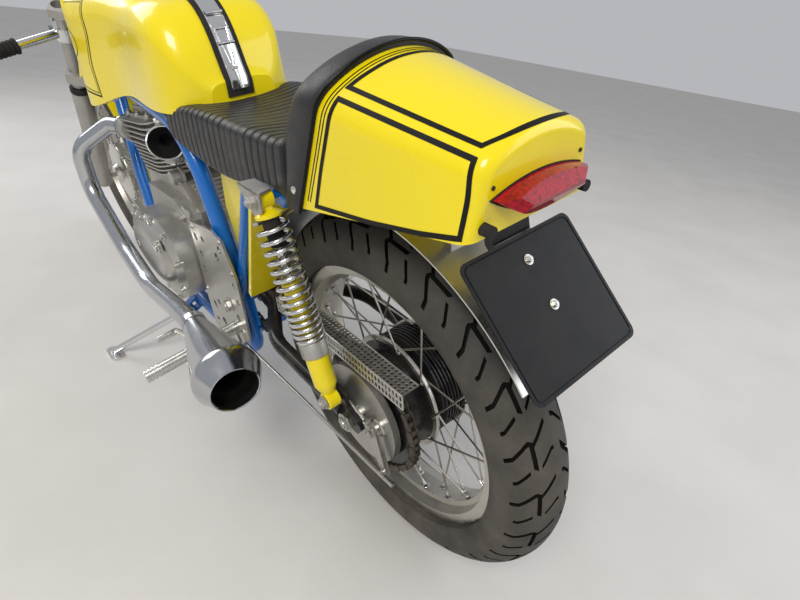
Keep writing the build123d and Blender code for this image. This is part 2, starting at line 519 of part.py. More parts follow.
def build_engine():
    core = CASE_HALF_WIDTH - 25
    case = plate_y([(520, 300), (478, 340), (472, 420), (520, 470), (640, CASE_TOP_Z + 8), (716, CASE_TOP_Z + 8),
                    (862, CASE_TOP_Z - 13), (880, 420), (840, 300), (780, 262), (560, 262)], -core, core)
    case += plate_y([(560, 330), (568, 470), (640, 500), (800, 490), (822, 400), (790, 322), (640, 300)],
                    -CASE_HALF_WIDTH, CASE_HALF_WIDTH)
    case -= box_between((400, CHAIN_Y - CHAIN_HALF_WIDTH - 6, 200), (556, CASE_HALF_WIDTH + 1, 560))
    case -= fin_slab(220, 200, 0, 60, 20)
    case += cylinder_y(GEARBOX_SPROCKET_X, GEARBOX_SPROCKET_Z, 50, 84, 14)
    case += cylinder_y(GEARBOX_SPROCKET_X, GEARBOX_SPROCKET_Z, 66, 73, GEARBOX_SPROCKET_RADIUS)
    keep("crankcase", case)

    def cover_face(y, inset):
        return belt_face((COVER_REAR_X, COVER_Z, COVER_REAR_RADIUS - inset),
                         (COVER_FRONT_X, COVER_Z, COVER_FRONT_RADIUS - inset), y)

    joint_y = CASE_HALF_WIDTH + SEAT_GAP
    left = extrude(cover_face(joint_y, 0), COVER_OUT_Y - 26 - joint_y, dir=(0, 1, 0))
    left += loft([cover_face(COVER_OUT_Y - 26, 0), cover_face(COVER_OUT_Y - 14, 14)], ruled=True)
    middle = Plane(origin=((COVER_REAR_X + COVER_FRONT_X) / 2 - 12, COVER_OUT_Y - 14, COVER_Z), x_dir=(1, 0, 0),
                   z_dir=(0, 1, 0))
    left += loft([middle * Ellipse(122, 72), middle * Location((0, 0, 9)) * Ellipse(110, 60),
                  middle * Location((0, 0, 14)) * Ellipse(84, 42)])
    right = extrude(cover_face(-TIMING_COVER_Y, 0), TIMING_COVER_Y - joint_y, dir=(0, 1, 0))
    keep("engine_covers", left, right)

    barrel_top = BARREL_FINS * BARREL_PITCH + 7
    barrel = fin_slab(62, 84, SEAT_GAP, barrel_top, 30)
    for index in range(BARREL_FINS):
        z = 8 + index * BARREL_PITCH
        barrel += fin_slab(80 + 1.5 * index, 98 + index, z, z + FIN_THICKNESS, 36)
    keep("cylinder_barrel", barrel)

    base = barrel_top + SEAT_GAP
    top = base + HEAD_FINS * HEAD_PITCH + 4
    head = fin_slab(72, 92, base, top, 20)
    for index in range(HEAD_FINS):
        z = base + 4 + index * HEAD_PITCH
        head += fin_slab(HEAD_LENGTH / 2, HEAD_HALF_WIDTH, z, z + FIN_THICKNESS, 26)
    head += fin_slab(82, 78, top - 1, top + 14, 22)
    for side in SIDES:
        for end in SIDES:
            head += rod(tilted(end * 46, side * 56, top + 8), tilted(end * 46, side * 56, top + 26), 20)
        head += rod(tilted(60, side * PORT_Y, base + PORT_HEIGHT), tilted(PORT_FACE, side * PORT_Y, base + PORT_HEIGHT), 27)
        head += rod(tilted(-60, side * INTAKE_Y, base + PORT_HEIGHT), tilted(-PORT_FACE, side * INTAKE_Y, base + PORT_HEIGHT), 25)
    keep("cylinder_head", head)

    start = Vector(*tilted(-PORT_FACE - SEAT_GAP, INTAKE_Y, base + PORT_HEIGHT))
    throat = Vector(*tilted(-PORT_FACE - 12, INTAKE_Y, base + PORT_HEIGHT))
    mouth = Vector(*CARB_MOUTH)
    direction = (mouth - throat).normalized()
    carb = rod(tuple(start), tuple(throat), 22)
    carb += rod(tuple(throat - direction * 4), tuple(mouth - direction * 18), 19)
    body_at = throat + direction * 18
    carb += rod(tuple(body_at + Vector(0, 0, -52)), tuple(body_at + Vector(0, 0, -4)), 17)
    carb += rod(tuple(body_at + Vector(0, 0, -4)), tuple(body_at + Vector(0, 0, 36)), 15)
    carb += cone(tuple(mouth - direction * 20), tuple(mouth), 18, BELLMOUTH_RADIUS)
    carb -= rod(tilted(-40, INTAKE_Y, base + PORT_HEIGHT), tuple(start), 60)
    carb -= cone(tuple(mouth - direction * 17), tuple(mouth + direction * 0.5), 15, BELLMOUTH_RADIUS - 1.5)
    carb -= rod(tuple(mouth - direction * 34), tuple(mouth), 14)
    keep("carburettors", *both_sides(carb))

    outline = [(530, 346), (522, 420), (520, 500), (400, 522), (361, 514), (346, 480), (331, 440), (333, 369),
               (343, 289), (372, 262), (430, 228), (508, 214), (536, 228), (536, 300)]
    face = plate_y(outline, RAIL_Y + MAIN_TUBE_RADIUS + 1, RAIL_Y + MAIN_TUBE_RADIUS + 6)
    keep("engine_plates", *both_sides(face))


def build_exhaust():
    base = BARREL_FINS * BARREL_PITCH + 7 + SEAT_GAP
    face = tilted(PORT_FACE + SEAT_GAP, PORT_Y, base + PORT_HEIGHT)
    port = tilted(PORT_FACE + 11, PORT_Y, base + PORT_HEIGHT)
    route = [port, (928, 118, port[2] + 2), (972, 196, 556), (968, 203, 448), (800, 206, 352), (655, 208, 312),
             (440, 212, 362), (342, 215, 381)]
    pipe = tube(route, PIPE_RADIUS, [26, 60, 76, 180, 160, 200])
    pipe += rod(face, tilted(PORT_FACE + 16, PORT_Y, base + PORT_HEIGHT), 29)
    tail, ring = Vector(342, 215, 381), Vector(172, 231, 376)
    wide, end = MEGAPHONE_RADIUS, MEGAPHONE_OUTLET_RADIUS
    # columns: radius, distance along the megaphone from the end of the pipe
    cone_outline = [(0, -8), (PIPE_RADIUS + 1.5, -8), (PIPE_RADIUS + 1.5, 2), (wide - 2, 158), (wide, 164), (wide, 172),
                    (end, 205), (end - 3, 205), (wide - 5, 171), (34, 168), (34, 86), (0, 86)]
    along = Plane(origin=tail, z_dir=(ring - tail))
    face_outline = make_face(Polyline(*[(radius, 0, height) for radius, height in cone_outline], close=True))
    pipe += along * revolve(face_outline, Axis.Z, 360)
    pipe -= rod(tuple(tail + (ring - tail).normalized() * 88), tuple(tail + (ring - tail).normalized() * 200), 33)
    keep("exhausts", *both_sides(pipe))


# Bodywork

def arch_face(place, half_low, half_high, height, corner, crown):
    """A flat-bottomed arch whose sides, round shoulders and crowned top run into each other, drawn across the machine."""
    top_radius = (half_high ** 2 + crown ** 2) / (2 * crown)
    top_centre = height - top_radius
    reach = half_high - corner
    corner_z = top_centre + sqrt((top_radius - corner) ** 2 - reach ** 2)
    top_angle = atan2(corner_z - top_centre, reach)
    away = Vector(half_low - reach, -corner_z)
    side_angle = atan2(away.Y, away.X) + acos(corner / away.length)

    def shoulder(side, angle):
        return Vector(side * (reach + corner * cos(angle)), corner_z + corner * sin(angle))

    edges = [Line(Vector(-half_low, 0), Vector(half_low, 0)),
             ThreePointArc(shoulder(1, top_angle), Vector(0, height), shoulder(-1, top_angle))]
    for side in SIDES:
        edges.append(Line(Vector(side * half_low, 0), shoulder(side, side_angle)))
        middle = shoulder(side, (side_angle + top_angle) / 2)
        edges.append(ThreePointArc(shoulder(side, side_angle), middle, shoulder(side, top_angle)))
    return place * make_face(Wire(edges))


def across(x, z, lean_back=0.0):
    """A plane across the machine: its X is the machine's left, its Y is up, leaning back in degrees."""
    up = Vector(-sin(radians(lean_back)), 0, cos(radians(lean_back)))
    left = Vector(0, 1, 0)
    return Plane(origin=(x, 0, z), x_dir=left, z_dir=left.cross(up))


def tank_shape(grow):
    """The outside of the fuel tank, larger all round by a margin."""
    # columns: X, half width at the bottom, half width at the shoulder, bottom Z, height, corner, crown
    sections = ((396, 62, 58, 734, 40, 16, 8), (424, 98, 92, 728, 102, 32, 14), (462, 117, 110, 724, 154, 44, 16),
                (520, 124, 116, 721, 176, 52, 15), (640, 118, 112, 720, 182, 56, 16), (760, 132, 126, 696, 212, 58, 17),
                (870, 152, 142, 668, 236, 62, 18), (NECK_X - 80, 132, 114, 684, 172, 60, 16))
    faces = []
    for index, (x, low, high, z, height, corner, crown) in enumerate(sections):
        move = -grow if index == 0 else 0.0
        faces.append(arch_face(across(x + move, z - grow), low + grow, high + grow, height + 2 * grow, corner + grow, crown))
    return loft(faces)


def build_tank():
    tank = tank_shape(0.0)
    hollow = RAIL_Y + MAIN_TUBE_RADIUS + 4
    tank -= box_between((560, -hollow, 600), (NECK_X - 42, hollow, RAIL_Z + MAIN_TUBE_RADIUS + 19))
    tank -= box_between((820, -hollow, 600), (NECK_X - 42, hollow, RAIL_Z + MAIN_TUBE_RADIUS + 46))
    tank -= box_between((NECK_X - 182, -50, 640), (NECK_X - 42, 50, 810))
    tank -= plate_y([(NECK_X - 72, 600), (NECK_X + 58, 600), (NECK_X + 58, 960), (NECK_X - 196, 960)], -200, 200)
    keep("fuel_tank", tank)
    cap = rod((760, 0, 890), (760, 0, 926), 30)
    cap -= tank_shape(SEAT_GAP)
    keep("filler_cap", cap)


def seam_x(z):
    """Where the seat meets the tail at a height."""
    return SEAM_FOOT_X - (z - SEAT_BASE_Z) * tan(radians(SEAT_BACK_LEAN))


def build_seat():
    base, half = SEAT_BASE_Z, SEAT_HALF_WIDTH
    pad = loft([arch_face(across(486, base), half - 4, half - 8, 24, 10, 3),
                arch_face(across(344, base), half - 2, half - 6, 44, 12, 3),
                arch_face(across(209, base), half - 1, half - 5, 50, 14, 4),
                arch_face(across(60, base), half, half - 4, 66, 16, 5)])
    roll = arch_face(across(88, base - 22, SEAT_BACK_LEAN), half + 4, half - 7, 206, 47, 48)
    back = extrude(roll, 60, dir=(-1, 0, 0))
    wedge = plate_y([(seam_x(base - 24), base - 24), (86, base - 24), (76, base + 66), (2, base + 200),
                     (seam_x(base + 200), base + 200)], -130, 130)
    pad += back & wedge
    for side in SIDES:
        low, high = sorted((side * (half - 2), side * (half + 4)))
        pad += plate_y([(478, base + 12), (482, base - 17), (440, base - 34), (343, base - 40), (270, base - 40),
                        (202, base - 30), (106, base - 18), (60, base - 15), (52, base + 40)], low, high)
        pad -= cylinder_y(SHOCK_TOP_X, SHOCK_TOP_Z, min(side * 108, side * 150), max(side * 108, side * 150), 19)
        pad -= seat_rail(side, STRUT_RADIUS + 1)
    pad -= tank_shape(1.0)
    hump_front = arch_face(across(seam_x(base - 16) - SEAT_GAP, base - 16, SEAT_BACK_LEAN), 114, 104, 192, 45, 46)
    hump_rear = arch_face(across(-228, 738, 3), 94, 82, 95, 30, 24)
    tail = loft([hump_front, hump_rear])
    rear_edges = tail.faces().sort_by(Axis.X)[0].edges().sort_by(Axis.Z)[1:]
    tail = fillet(rear_edges, TAIL_EDGE)
    tail -= cylinder_y(TAIL_TUBE_X, TAIL_TUBE_Z, -90, 90, TAIL_TUBE_RADIUS + 1)
    bung = rod((-220, BUNG_Y, BUNG_Z), (BUNG_END_X, BUNG_Y, BUNG_Z), BUNG_RADIUS)
    for side in SIDES:
        tail -= seat_rail(side, STRUT_RADIUS + 1)
        tail -= rod((-220 + SEAT_GAP, side * BUNG_Y, BUNG_Z), (-260, side * BUNG_Y, BUNG_Z), BUNG_RADIUS + SEAT_GAP)
    keep("seat_pad", pad)
    keep("seat_tail", tail)
    keep("tail_bungs", *both_sides(bung))


def build_rear_end():
    tilt = radians(PLATE_TILT)
    place = Plane(origin=(PLATE_X, 0, PLATE_Z), x_dir=(0, 1, 0), z_dir=(-cos(tilt), 0, sin(tilt)))
    keep("number_plate", extrude(place * RectangleRounded(PLATE_WIDTH, PLATE_HEIGHT, 10), 1.6))
    bracket = extrude(place * Location((0, 0, -SEAT_GAP)) * Rectangle(PLATE_WIDTH - 30, PLATE_HEIGHT - 16), -2)
    bracket += plate_y([(-221, 690), (-206, 704), (-200, 729), (-188, 729), (-194, 700), (-210, 686)], -30, 30)
    keep("plate_bracket", bracket)
    guard = curved_guard(0, REAR_AXLE_Z, REAR_GUARD_RADIUS, 2.5, 46, 74, 142)
    stay_foot = REAR_AXLE_Z + REAR_GUARD_RADIUS * 0.94
    guard += strip(TAIL_TUBE_X - 6, TAIL_TUBE_X + 6, -12, 12, stay_foot, TAIL_TUBE_Z - TAIL_TUBE_RADIUS - SEAT_GAP)
    inner = curved_guard(0, REAR_AXLE_Z, INNER_GUARD_RADIUS, 3, 58, 14, 70)
    x = GUARD_TUBE_X
    rise = sqrt(INNER_GUARD_RADIUS ** 2 - (x + 6) ** 2)
    inner += strip(x - 6, x + 6, -12, 12, REAR_AXLE_Z + rise + 1, RAIL_Z - 2 - 9 - SEAT_GAP)
    keep("rear_mudguards", guard, inner)
    lens = make_face(Wire([ThreePointArc(Vector(-225, 66, 777), Vector(-225, 0, 754), Vector(-225, -66, 777)),
                           ThreePointArc(Vector(-225, -66, 777), Vector(-225, 0, 787), Vector(-225, 66, 777))]))
    lamp = extrude(lens, 50, dir=(-1, 0, 0))
    lamp = lamp & plate_y([(-228, 740), (-228, 800), (-238, 800), (-258, 773), (-256, 768), (-236, 740)], -90, 90)
    back = LAMP_BACK_X
    plan = make_face(Wire([ThreePointArc(Vector(back - 4, 72, 700), Vector(-266, 0, 700), Vector(back - 4, -72, 700)),
                           Line(Vector(back - 4, -72, 700), Vector(back, -72, 700)),
                           Line(Vector(back, -72, 700), Vector(back, 72, 700)),
                           Line(Vector(back, 72, 700), Vector(back - 4, 72, 700))]))
    lamp = lamp & extrude(plan, 120, dir=(0, 0, 1))
    keep("tail_light", lamp)


def curved_guard(x, z, radius, thickness, half_width, start, stop):
    """A strip curved about an axle between two angles above the forward direction."""
    a, b, middle = radians(start), radians(stop), radians((start + stop) / 2)

    def on(r, angle):
        return Vector(x + r * cos(angle), 0, z + r * sin(angle))

    outer = radius + thickness
    edges = [ThreePointArc(on(outer, a), on(outer, middle), on(outer, b)), Line(on(outer, b), on(radius, b)),
             ThreePointArc(on(radius, b), on(radius, middle), on(radius, a)), Line(on(radius, a), on(outer, a))]
    return extrude(make_face(Wire(edges)), half_width, dir=(0, 1, 0), both=True)


# Fork, bars and lamp

def build_front_end():
    up = Vector(-sin(radians(RAKE)), 0, cos(radians(RAKE)))
    low, high = Vector(*steering_point(HEAD_LOW)), Vector(*steering_point(HEAD_HIGH))
    low_top, high_bottom = low - up * SEAT_GAP, high + up * SEAT_GAP
    yokes = rod(tuple(low_top - up * LOW_YOKE), tuple(high_bottom + up * (HIGH_YOKE + 8)), STEM_RADIUS)
    # columns: sideways from the steering axis, forward of it
    outline = [(-126, 42), (-102, 84), (102, 84), (126, 42), (34, -28), (-34, -28)]
    for bottom, thickness in ((low_top - up * LOW_YOKE, LOW_YOKE), (high_bottom, HIGH_YOKE)):
        place = Plane(origin=bottom, x_dir=(0, 1, 0), z_dir=up)
        face = make_face(Polyline(*[(side, -ahead) for side, ahead in outline], close=True))
        yokes += extrude(place * face, thickness)
    legs = None
    for side in SIDES:
        axle_at = Vector(WHEELBASE, side * FORK_SPREAD, FRONT_AXLE_Z)
        lean = up * ((HEAD_HIGH - FRONT_AXLE_Z) / cos(radians(RAKE)))
        top = tuple(axle_at + lean + up * 20)
        clearance = STANCHION_RADIUS + RUNNING_CLEARANCE
        yokes -= rod(tuple(axle_at + up * 200), tuple(axle_at + lean + up * 90), clearance)
        leg = rod(tuple(axle_at + up * 100), top, STANCHION_RADIUS)
        leg += rod(tuple(axle_at - up * 20), tuple(axle_at + up * SLIDER_LENGTH), SLIDER_RADIUS)
        legs = leg if legs is None else legs + leg
    legs += cylinder_y(WHEELBASE, FRONT_AXLE_Z, -FORK_SPREAD, FORK_SPREAD, AXLE_RADIUS)
    keep("yokes", yokes)
    keep("fork_legs", legs)

    guard = curved_guard(WHEELBASE, FRONT_AXLE_Z, FRONT_TYRE_RADIUS + 18, 2.5, 54, 66, 176)
    for side in SIDES:
        near = Vector(WHEELBASE, side * 53, FRONT_AXLE_Z) + up * (FRONT_TYRE_RADIUS + 6)
        reach = FORK_SPREAD - SLIDER_RADIUS - SEAT_GAP
        tab = Plane(origin=near, x_dir=(0, 1, 0), z_dir=up)
        guard += tab * Location((side * (reach - 53) / 2, 0, 0)) * Box(reach - 53, 30, 30)
    keep("front_mudguard", guard)

    bars = []
    foot = Vector(WHEELBASE, FORK_SPREAD, FRONT_AXLE_Z)
    lean = up * ((HEAD_HIGH - FRONT_AXLE_Z) / cos(radians(RAKE)))
    for side in SIDES:
        clamp_high = Vector(foot.X, side * foot.Y, foot.Z) + lean - up * 4
        clamp_low = clamp_high - up * 34
        bar = rod(tuple(clamp_low), tuple(clamp_high), STANCHION_RADIUS + 8)
        middle = (clamp_low + clamp_high) * 0.5
        end = middle + Vector(-58, side * 240, -26)
        bar += rod(tuple(middle), tuple(end), 11)
        grip = middle + (end - middle) * 0.5
        bar += rod(tuple(grip), tuple(end), 16)
        perch = middle + (end - middle) * 0.46
        forward = Vector(22, 0, -4)
        bar += rod(tuple(perch), tuple(perch + forward), 8)
        bar += rod(tuple(perch + forward), tuple(perch + forward + (end - middle) * 0.5), 5)
        bar -= rod(tuple(clamp_low - up * 30), tuple(clamp_high + up * 30), STANCHION_RADIUS + RUNNING_CLEARANCE)
        bars.append(bar)
    keep("handlebars", *bars)

    centre = Vector(*fork_point(720, 1)) + Vector(0, -FORK_SPREAD, 0)
    lamp_back, lamp_front = centre + Vector(80, 0, 24), centre + Vector(172, 0, 14)
    # columns: radius, distance forward
    lamp_outline = [(0, -22), (36, -20), (66, -4), (80, 16), (84, 34), (84, 74), (88, 76), (88, 90), (80, 92), (50, 97),
                    (0, 100)]
    outline_face = make_face(Polyline(*[(radius, 0, height) for radius, height in lamp_outline], close=True))
    shell = Plane(origin=lamp_back, z_dir=(lamp_front - lamp_back)) * revolve(outline_face, Axis.Z, 360)
    for side in SIDES:
        ear_at = lamp_back + Vector(34, 0, 0)
        shell += cylinder_y(ear_at.X, ear_at.Z, min(side * 80, side * 104), max(side * 80, side * 104), 9)
        ear = [(ear_at.X - 12, ear_at.Z - 12), (ear_at.X + 12, ear_at.Z - 12), (ear_at.X + 12, ear_at.Z + 12),
               (ear_at.X - 96, ear_at.Z + 8), (ear_at.X - 96, ear_at.Z - 16)]
        shell += plate_y(ear, min(side * 98, side * 104), max(side * 98, side * 104))
        fork = Vector(WHEELBASE, side * FORK_SPREAD, FRONT_AXLE_Z)
        shell -= rod(tuple(fork), tuple(fork + lean), STANCHION_RADIUS + SEAT_GAP)
    keep("headlamp", shell)

    dials = []
    for side in SIDES:
        ahead = Vector(cos(radians(RAKE)), 0, sin(radians(RAKE)))
        seat = high_bottom + up * (HIGH_YOKE + SEAT_GAP) + ahead * 46 + Vector(0, side * 44, 0)
        dials.append(rod(tuple(seat), tuple(seat + up * 52), 38))
    keep("instruments", *dials)


# Oil tank, inner mudguard and controls

def build_extras():
    outline = [(374, 640), (390, 560), (370, 462), (306, 430), (284, 426), (191, 646), (215, 664)]
    tank = plate_y(outline, 18, 84)
    tank -= cylinder_y(0, REAR_AXLE_Z, 10, 64, INNER_GUARD_RADIUS + 9)
    edge = [(191, 646), (198, 650), (290, 434), (284, 426)]
    tank += plate_y(edge, 83, 118)
    keep("oil_tank", tank)

    plate_face = RAIL_Y + MAIN_TUBE_RADIUS + 6
    peg_in, peg_out = Vector(388, plate_face + SEAT_GAP + 1.5, 300), Vector(391, 322, 280)
    peg = rod(tuple(peg_in), tuple(peg_out), 8)
    along = (peg_out - peg_in).normalized()
    peg += rod(tuple(peg_in + along * 104), tuple(peg_out), 11.5)
    peg += rod(tuple(peg_in), tuple(peg_in + along * 7), 14)
    keep("footrests", *both_sides(peg))

    boss = rod(tuple(peg_in + along * 7.5), tuple(peg_in + along * 92), 14)
    knee, toe = Vector(460, 203, 270), Vector(560, 206, 232)
    start = peg_in + along * 80
    boss += tube([tuple(start), (410, 198, 278), tuple(knee), tuple(toe)], 6.5, [18, 40])
    boss += rod(tuple(toe), (560, 252, 230), 8)
    arm_top = peg_in + along * 12
    boss += plate_y([(arm_top.X - 10, arm_top.Z), (arm_top.X + 8, arm_top.Z - 4), (PEDAL_ARM[0] + 7, PEDAL_ARM[1] - 8),
                     (PEDAL_ARM[0] - 7, PEDAL_ARM[1] - 6)], arm_top.Y - 3, arm_top.Y + 3)
    boss -= rod(tuple(peg_in - along * 2), tuple(peg_out), 8 + RUNNING_CLEARANCE)
    keep("brake_pedal", boss)

    face = -TIMING_COVER_Y - SEAT_GAP
    gear = cylinder_y(600, 340, face - 26, face, 9)
    gear += rod((600, face - 20, 340), (500, face - 34, 300), 6)
    gear += rod((500, face - 34, 300), (500, face - 78, 296), 8)
    kick = cylinder_y(560, 392, face - 30, face, 10)
    kick += tube([(560, face - 24, 392), (520, face - 30, 470), (470, face - 34, 560)], 8, [60])
    kick += rod((470, face - 34, 560), (462, face - 104, 556), 9)
    keep("engine_levers", gear, kick)


build_rear_wheel()
build_front_wheel()
build_frame()
build_side_stand()
build_swingarm()
build_shocks()
build_drive()
build_engine()
build_exhaust()
build_tank()
build_seat()
build_rear_end()
build_front_end()
build_extras()

# Lean the whole machine to its left and put the middle of its box over the origin
lean = Rotation(-LEAN, 0, 0)
leaned = {name: [lean * solid for solid in solids] for name, solids in pieces.items()}
boxes = [solid.bounding_box() for solids in leaned.values() for solid in solids]
middle_x = (min(box.min.X for box in boxes) + max(box.max.X for box in boxes)) / 2
middle_y = (min(box.min.Y for box in boxes) + max(box.max.Y for box in boxes)) / 2
shift = Location((-middle_x, -middle_y, -min(box.min.Z for box in boxes)))


def placed_point(x, y, z):
    """Where a point of the upright machine is once it is parked."""
    return tuple((shift * lean * Location((x, y, z))).position)


os.makedirs("parts", exist_ok=True)
for name, solids in leaned.items():
    shapes = [shift * solid for solid in solids]
    export_step(shapes[0] if len(shapes) == 1 else Compound(children=shapes), os.path.join("parts", name + ".step"))
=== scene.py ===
import json
from math import acos, atan2, cos, hypot, pi, radians, sin, sqrt, tan

import bmesh
import bpy
from bpy.props import FloatProperty, FloatVectorProperty, IntProperty, PointerProperty
from mathutils import Matrix, Vector
from mathutils.bvhtree import BVHTree


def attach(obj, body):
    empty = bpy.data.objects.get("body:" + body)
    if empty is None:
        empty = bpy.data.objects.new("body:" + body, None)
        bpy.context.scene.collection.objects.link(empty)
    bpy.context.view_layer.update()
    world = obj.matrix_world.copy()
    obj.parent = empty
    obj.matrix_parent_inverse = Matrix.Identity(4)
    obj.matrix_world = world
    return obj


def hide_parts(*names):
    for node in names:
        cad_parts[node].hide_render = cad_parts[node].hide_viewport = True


bl_info = {
    "name": "Cafe Racer Dressing",
    "version": (1, 0, 0),
    "blender": (4, 5, 0),
    "location": "View3D > Sidebar > Cafe Racer",
    "description": "Dresses the solids of a cafe racer motorcycle with trim, tread, upholstery and finishes",
    "category": "Object",
}

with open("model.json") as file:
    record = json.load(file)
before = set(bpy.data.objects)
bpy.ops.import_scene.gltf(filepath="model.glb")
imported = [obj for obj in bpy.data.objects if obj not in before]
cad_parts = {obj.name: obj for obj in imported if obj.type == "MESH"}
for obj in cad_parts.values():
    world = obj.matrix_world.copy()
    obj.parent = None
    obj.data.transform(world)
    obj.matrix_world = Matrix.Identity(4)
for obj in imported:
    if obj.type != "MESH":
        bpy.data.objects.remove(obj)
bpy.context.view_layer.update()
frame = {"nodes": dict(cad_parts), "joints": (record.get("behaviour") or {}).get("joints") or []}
NODES = frame["nodes"]
JOINTS = {joint["name"]: joint for joint in frame["joints"]}

# The machine's own axes, as it is parked
MM = 0.001
REAR_TYRE_RADIUS = 326.0
FORWARD = Vector((1, 0, 0))
LEFT = Vector(JOINTS["rear_wheel_spin"]["axis"])
UP = FORWARD.cross(LEFT)
REAR_HUB = Vector(JOINTS["rear_wheel_spin"]["pos_m"])
GROUND = REAR_HUB - UP * REAR_TYRE_RADIUS * MM
LEAN = atan2(-LEFT.z, LEFT.y)
SIDES = (1, -1)


def place(point):
    """A point of the upright machine, in metres where it is parked."""
    x, y, z = point
    return GROUND + (FORWARD * x + LEFT * y + UP * z) * MM


def upright(point):
    """A parked point in metres, on the upright machine in millimetres."""
    offset = (Vector(point) - GROUND) / MM
    return Vector((offset.dot(FORWARD), offset.dot(LEFT), offset.dot(UP)))


# All sizes below are millimetres on the upright machine:
# X forward from the rear axle, Y to its left, Z up from the ground.
AHEAD, ACROSS, UPWARD = Vector((1, 0, 0)), Vector((0, 1, 0)), Vector((0, 0, 1))
FRONT_AXLE = upright(JOINTS["front_wheel_spin"]["pos_m"])
REAR_AXLE = Vector((0, 0, REAR_TYRE_RADIUS))

# Steering
FORK_RAKE = radians(27)
FORK_SPREAD = 95.0
TOP_YOKE_Z = 800.0
STEER_FOOT = upright(JOINTS["steering"]["pos_m"])
STEER_UP = Vector((-sin(FORK_RAKE), 0, cos(FORK_RAKE)))
STEER_AHEAD = Vector((cos(FORK_RAKE), 0, sin(FORK_RAKE)))
TOP_YOKE_REACH = (TOP_YOKE_Z - FRONT_AXLE.z) / cos(FORK_RAKE)

# Wheels
FRONT_TYRE_RADIUS = 322.0
RIM_FLANGE_RADIUS = 242.5
RIM_SEAT_RADIUS = 229.0
RIM_WELL_RADIUS = 214.0
SPOKE_PAIRS = 20
SPOKE_HOLE_RADIUS = 97.5
SPOKE_HEAD_Y, NIPPLE_Y = 5.4, 8.0

# Seat and tail
SEAT_BASE_Z = 707.0
SEAT_BACK_LEAN = radians(20)
SEAT_HALF_WIDTH = 115.2
SEAT_SHOULDER = 13.0
SEAM_FOOT_X = 34.0

# Shock absorbers
SHOCK_Y = 127.0
SHOCK_TOP = Vector((124.0, 0.0, 682.0))
SHOCK_LOW = Vector((23.0, 0.0, 368.0))
COIL_RADIUS = 21.5

# Drive chain, and the alloy guard over it
CHAIN_Y = 70.0
REAR_SPROCKET = (0.0, REAR_TYRE_RADIUS, 113.5)
GEARBOX_SPROCKET = (478.0, 352.0, 45.5)
CHAIN_LINKS = 92
GUARD_TOP_Z = 452.4

# Engine: its cylinders lean forward from the top of the case
CYLINDER_X, CASE_TOP_Z = 752.0, 520.0
CYLINDER_LEAN = radians(8)
HEAD_BASE = 73.8
PORT_HEIGHT = HEAD_BASE + 26
ENGINE_PLATE_Y = 116.8
COVER_Z = 373.0
COVER_REAR, COVER_FRONT = (633.0, 98.0), (752.0, 76.0)

# The rear mudguard changes from black, which is painted shade under the tail, to bright alloy here, in metres ahead of
# the axle
PAINTED_SHADE_GUARD_EDGE = 0.10

# The camera stands where the photograph was taken
CAMERA_AT = Vector((-1.2236, 0.4968, 0.8890))
CAMERA_RIGHT = Vector((-0.6474, -0.7530, 0.1179))
CAMERA_UP = Vector((0.4256, -0.2288, 0.8755))
CAMERA_LENS_MM = 24.28


# Settings that a user would change

class RacerColours(bpy.types.PropertyGroup):
    """Colours of the machine's finishes."""
    bodywork: FloatVectorProperty(name="Bodywork", description="Paint of the tank, tail and guards", subtype="COLOR",
                                  default=(0.80, 0.64, 0.002), min=0, max=1)
    frame_paint: FloatVectorProperty(name="Frame", description="Paint of the frame and swingarm", subtype="COLOR",
                                     default=(0.001, 0.13, 0.49), min=0, max=1)
    stripe: FloatVectorProperty(name="Stripes", description="Paint of the lines on the bodywork", subtype="COLOR",
                                default=(0.004, 0.0035, 0.003), min=0, max=1)
    seat: FloatVectorProperty(name="Seat", description="Vinyl of the seat", subtype="COLOR",
                              default=(0.013, 0.013, 0.014), min=0, max=1)
    dust: FloatVectorProperty(name="Dust", description="Road dust that lies on everything", subtype="COLOR",
                              default=(0.33, 0.28, 0.21), min=0, max=1)


class RacerSizes(bpy.types.PropertyGroup):
    """Sizes of the machine's trim."""
    pleat_pitch: FloatProperty(name="Pleat pitch", description="Distance between the seat's seams", subtype="DISTANCE",
                               default=0.0205, min=0.01, max=0.06)
    pleat_rise: FloatProperty(name="Pleat rise", description="Height of a pleat above its seams", subtype="DISTANCE",
                              default=0.0015, min=0.0, max=0.01)
    stripe_width: FloatProperty(name="Stripe width", description="Width of the bold lines", subtype="DISTANCE",
                                default=0.0058, min=0.001, max=0.02)
    tread_depth: FloatProperty(name="Tread depth", description="Depth of the tyres' grooves", subtype="DISTANCE",
                               default=0.0065, min=0.0, max=0.01)
    coil_wire: FloatProperty(name="Coil wire", description="Radius of the shock springs' wire", subtype="DISTANCE",
                             default=0.0036, min=0.002, max=0.008)
    coil_turns: IntProperty(name="Coil turns", description="Turns of each shock spring", default=15, min=4, max=20)


def colours():
    return bpy.context.scene.racer_colours


def sizes():
    return bpy.context.scene.racer_sizes


# Shader nodes

def feed(tree, socket, value):
    """Give a socket another node's output, or a value of its own."""
    if isinstance(value, bpy.types.NodeSocket):
        tree.links.new(value, socket)
    else:
        socket.default_value = value


def node(tree, kind, settings=None, **inputs):
    """A shader node with its settings and its inputs, each a value or another node's output."""
    made = tree.nodes.new("ShaderNode" + kind)
    for key, value in (settings or {}).items():
        setattr(made, key, value)
    for key, value in inputs.items():
        feed(tree, made.inputs[key.replace("_", " ")], value)
    return made


def rgba(colour):
    return (colour[0], colour[1], colour[2], 1.0)


def colour_value(colour):
    """A colour as a socket takes it; another node's output stays as it is."""
    return colour if isinstance(colour, bpy.types.NodeSocket) else rgba(colour)


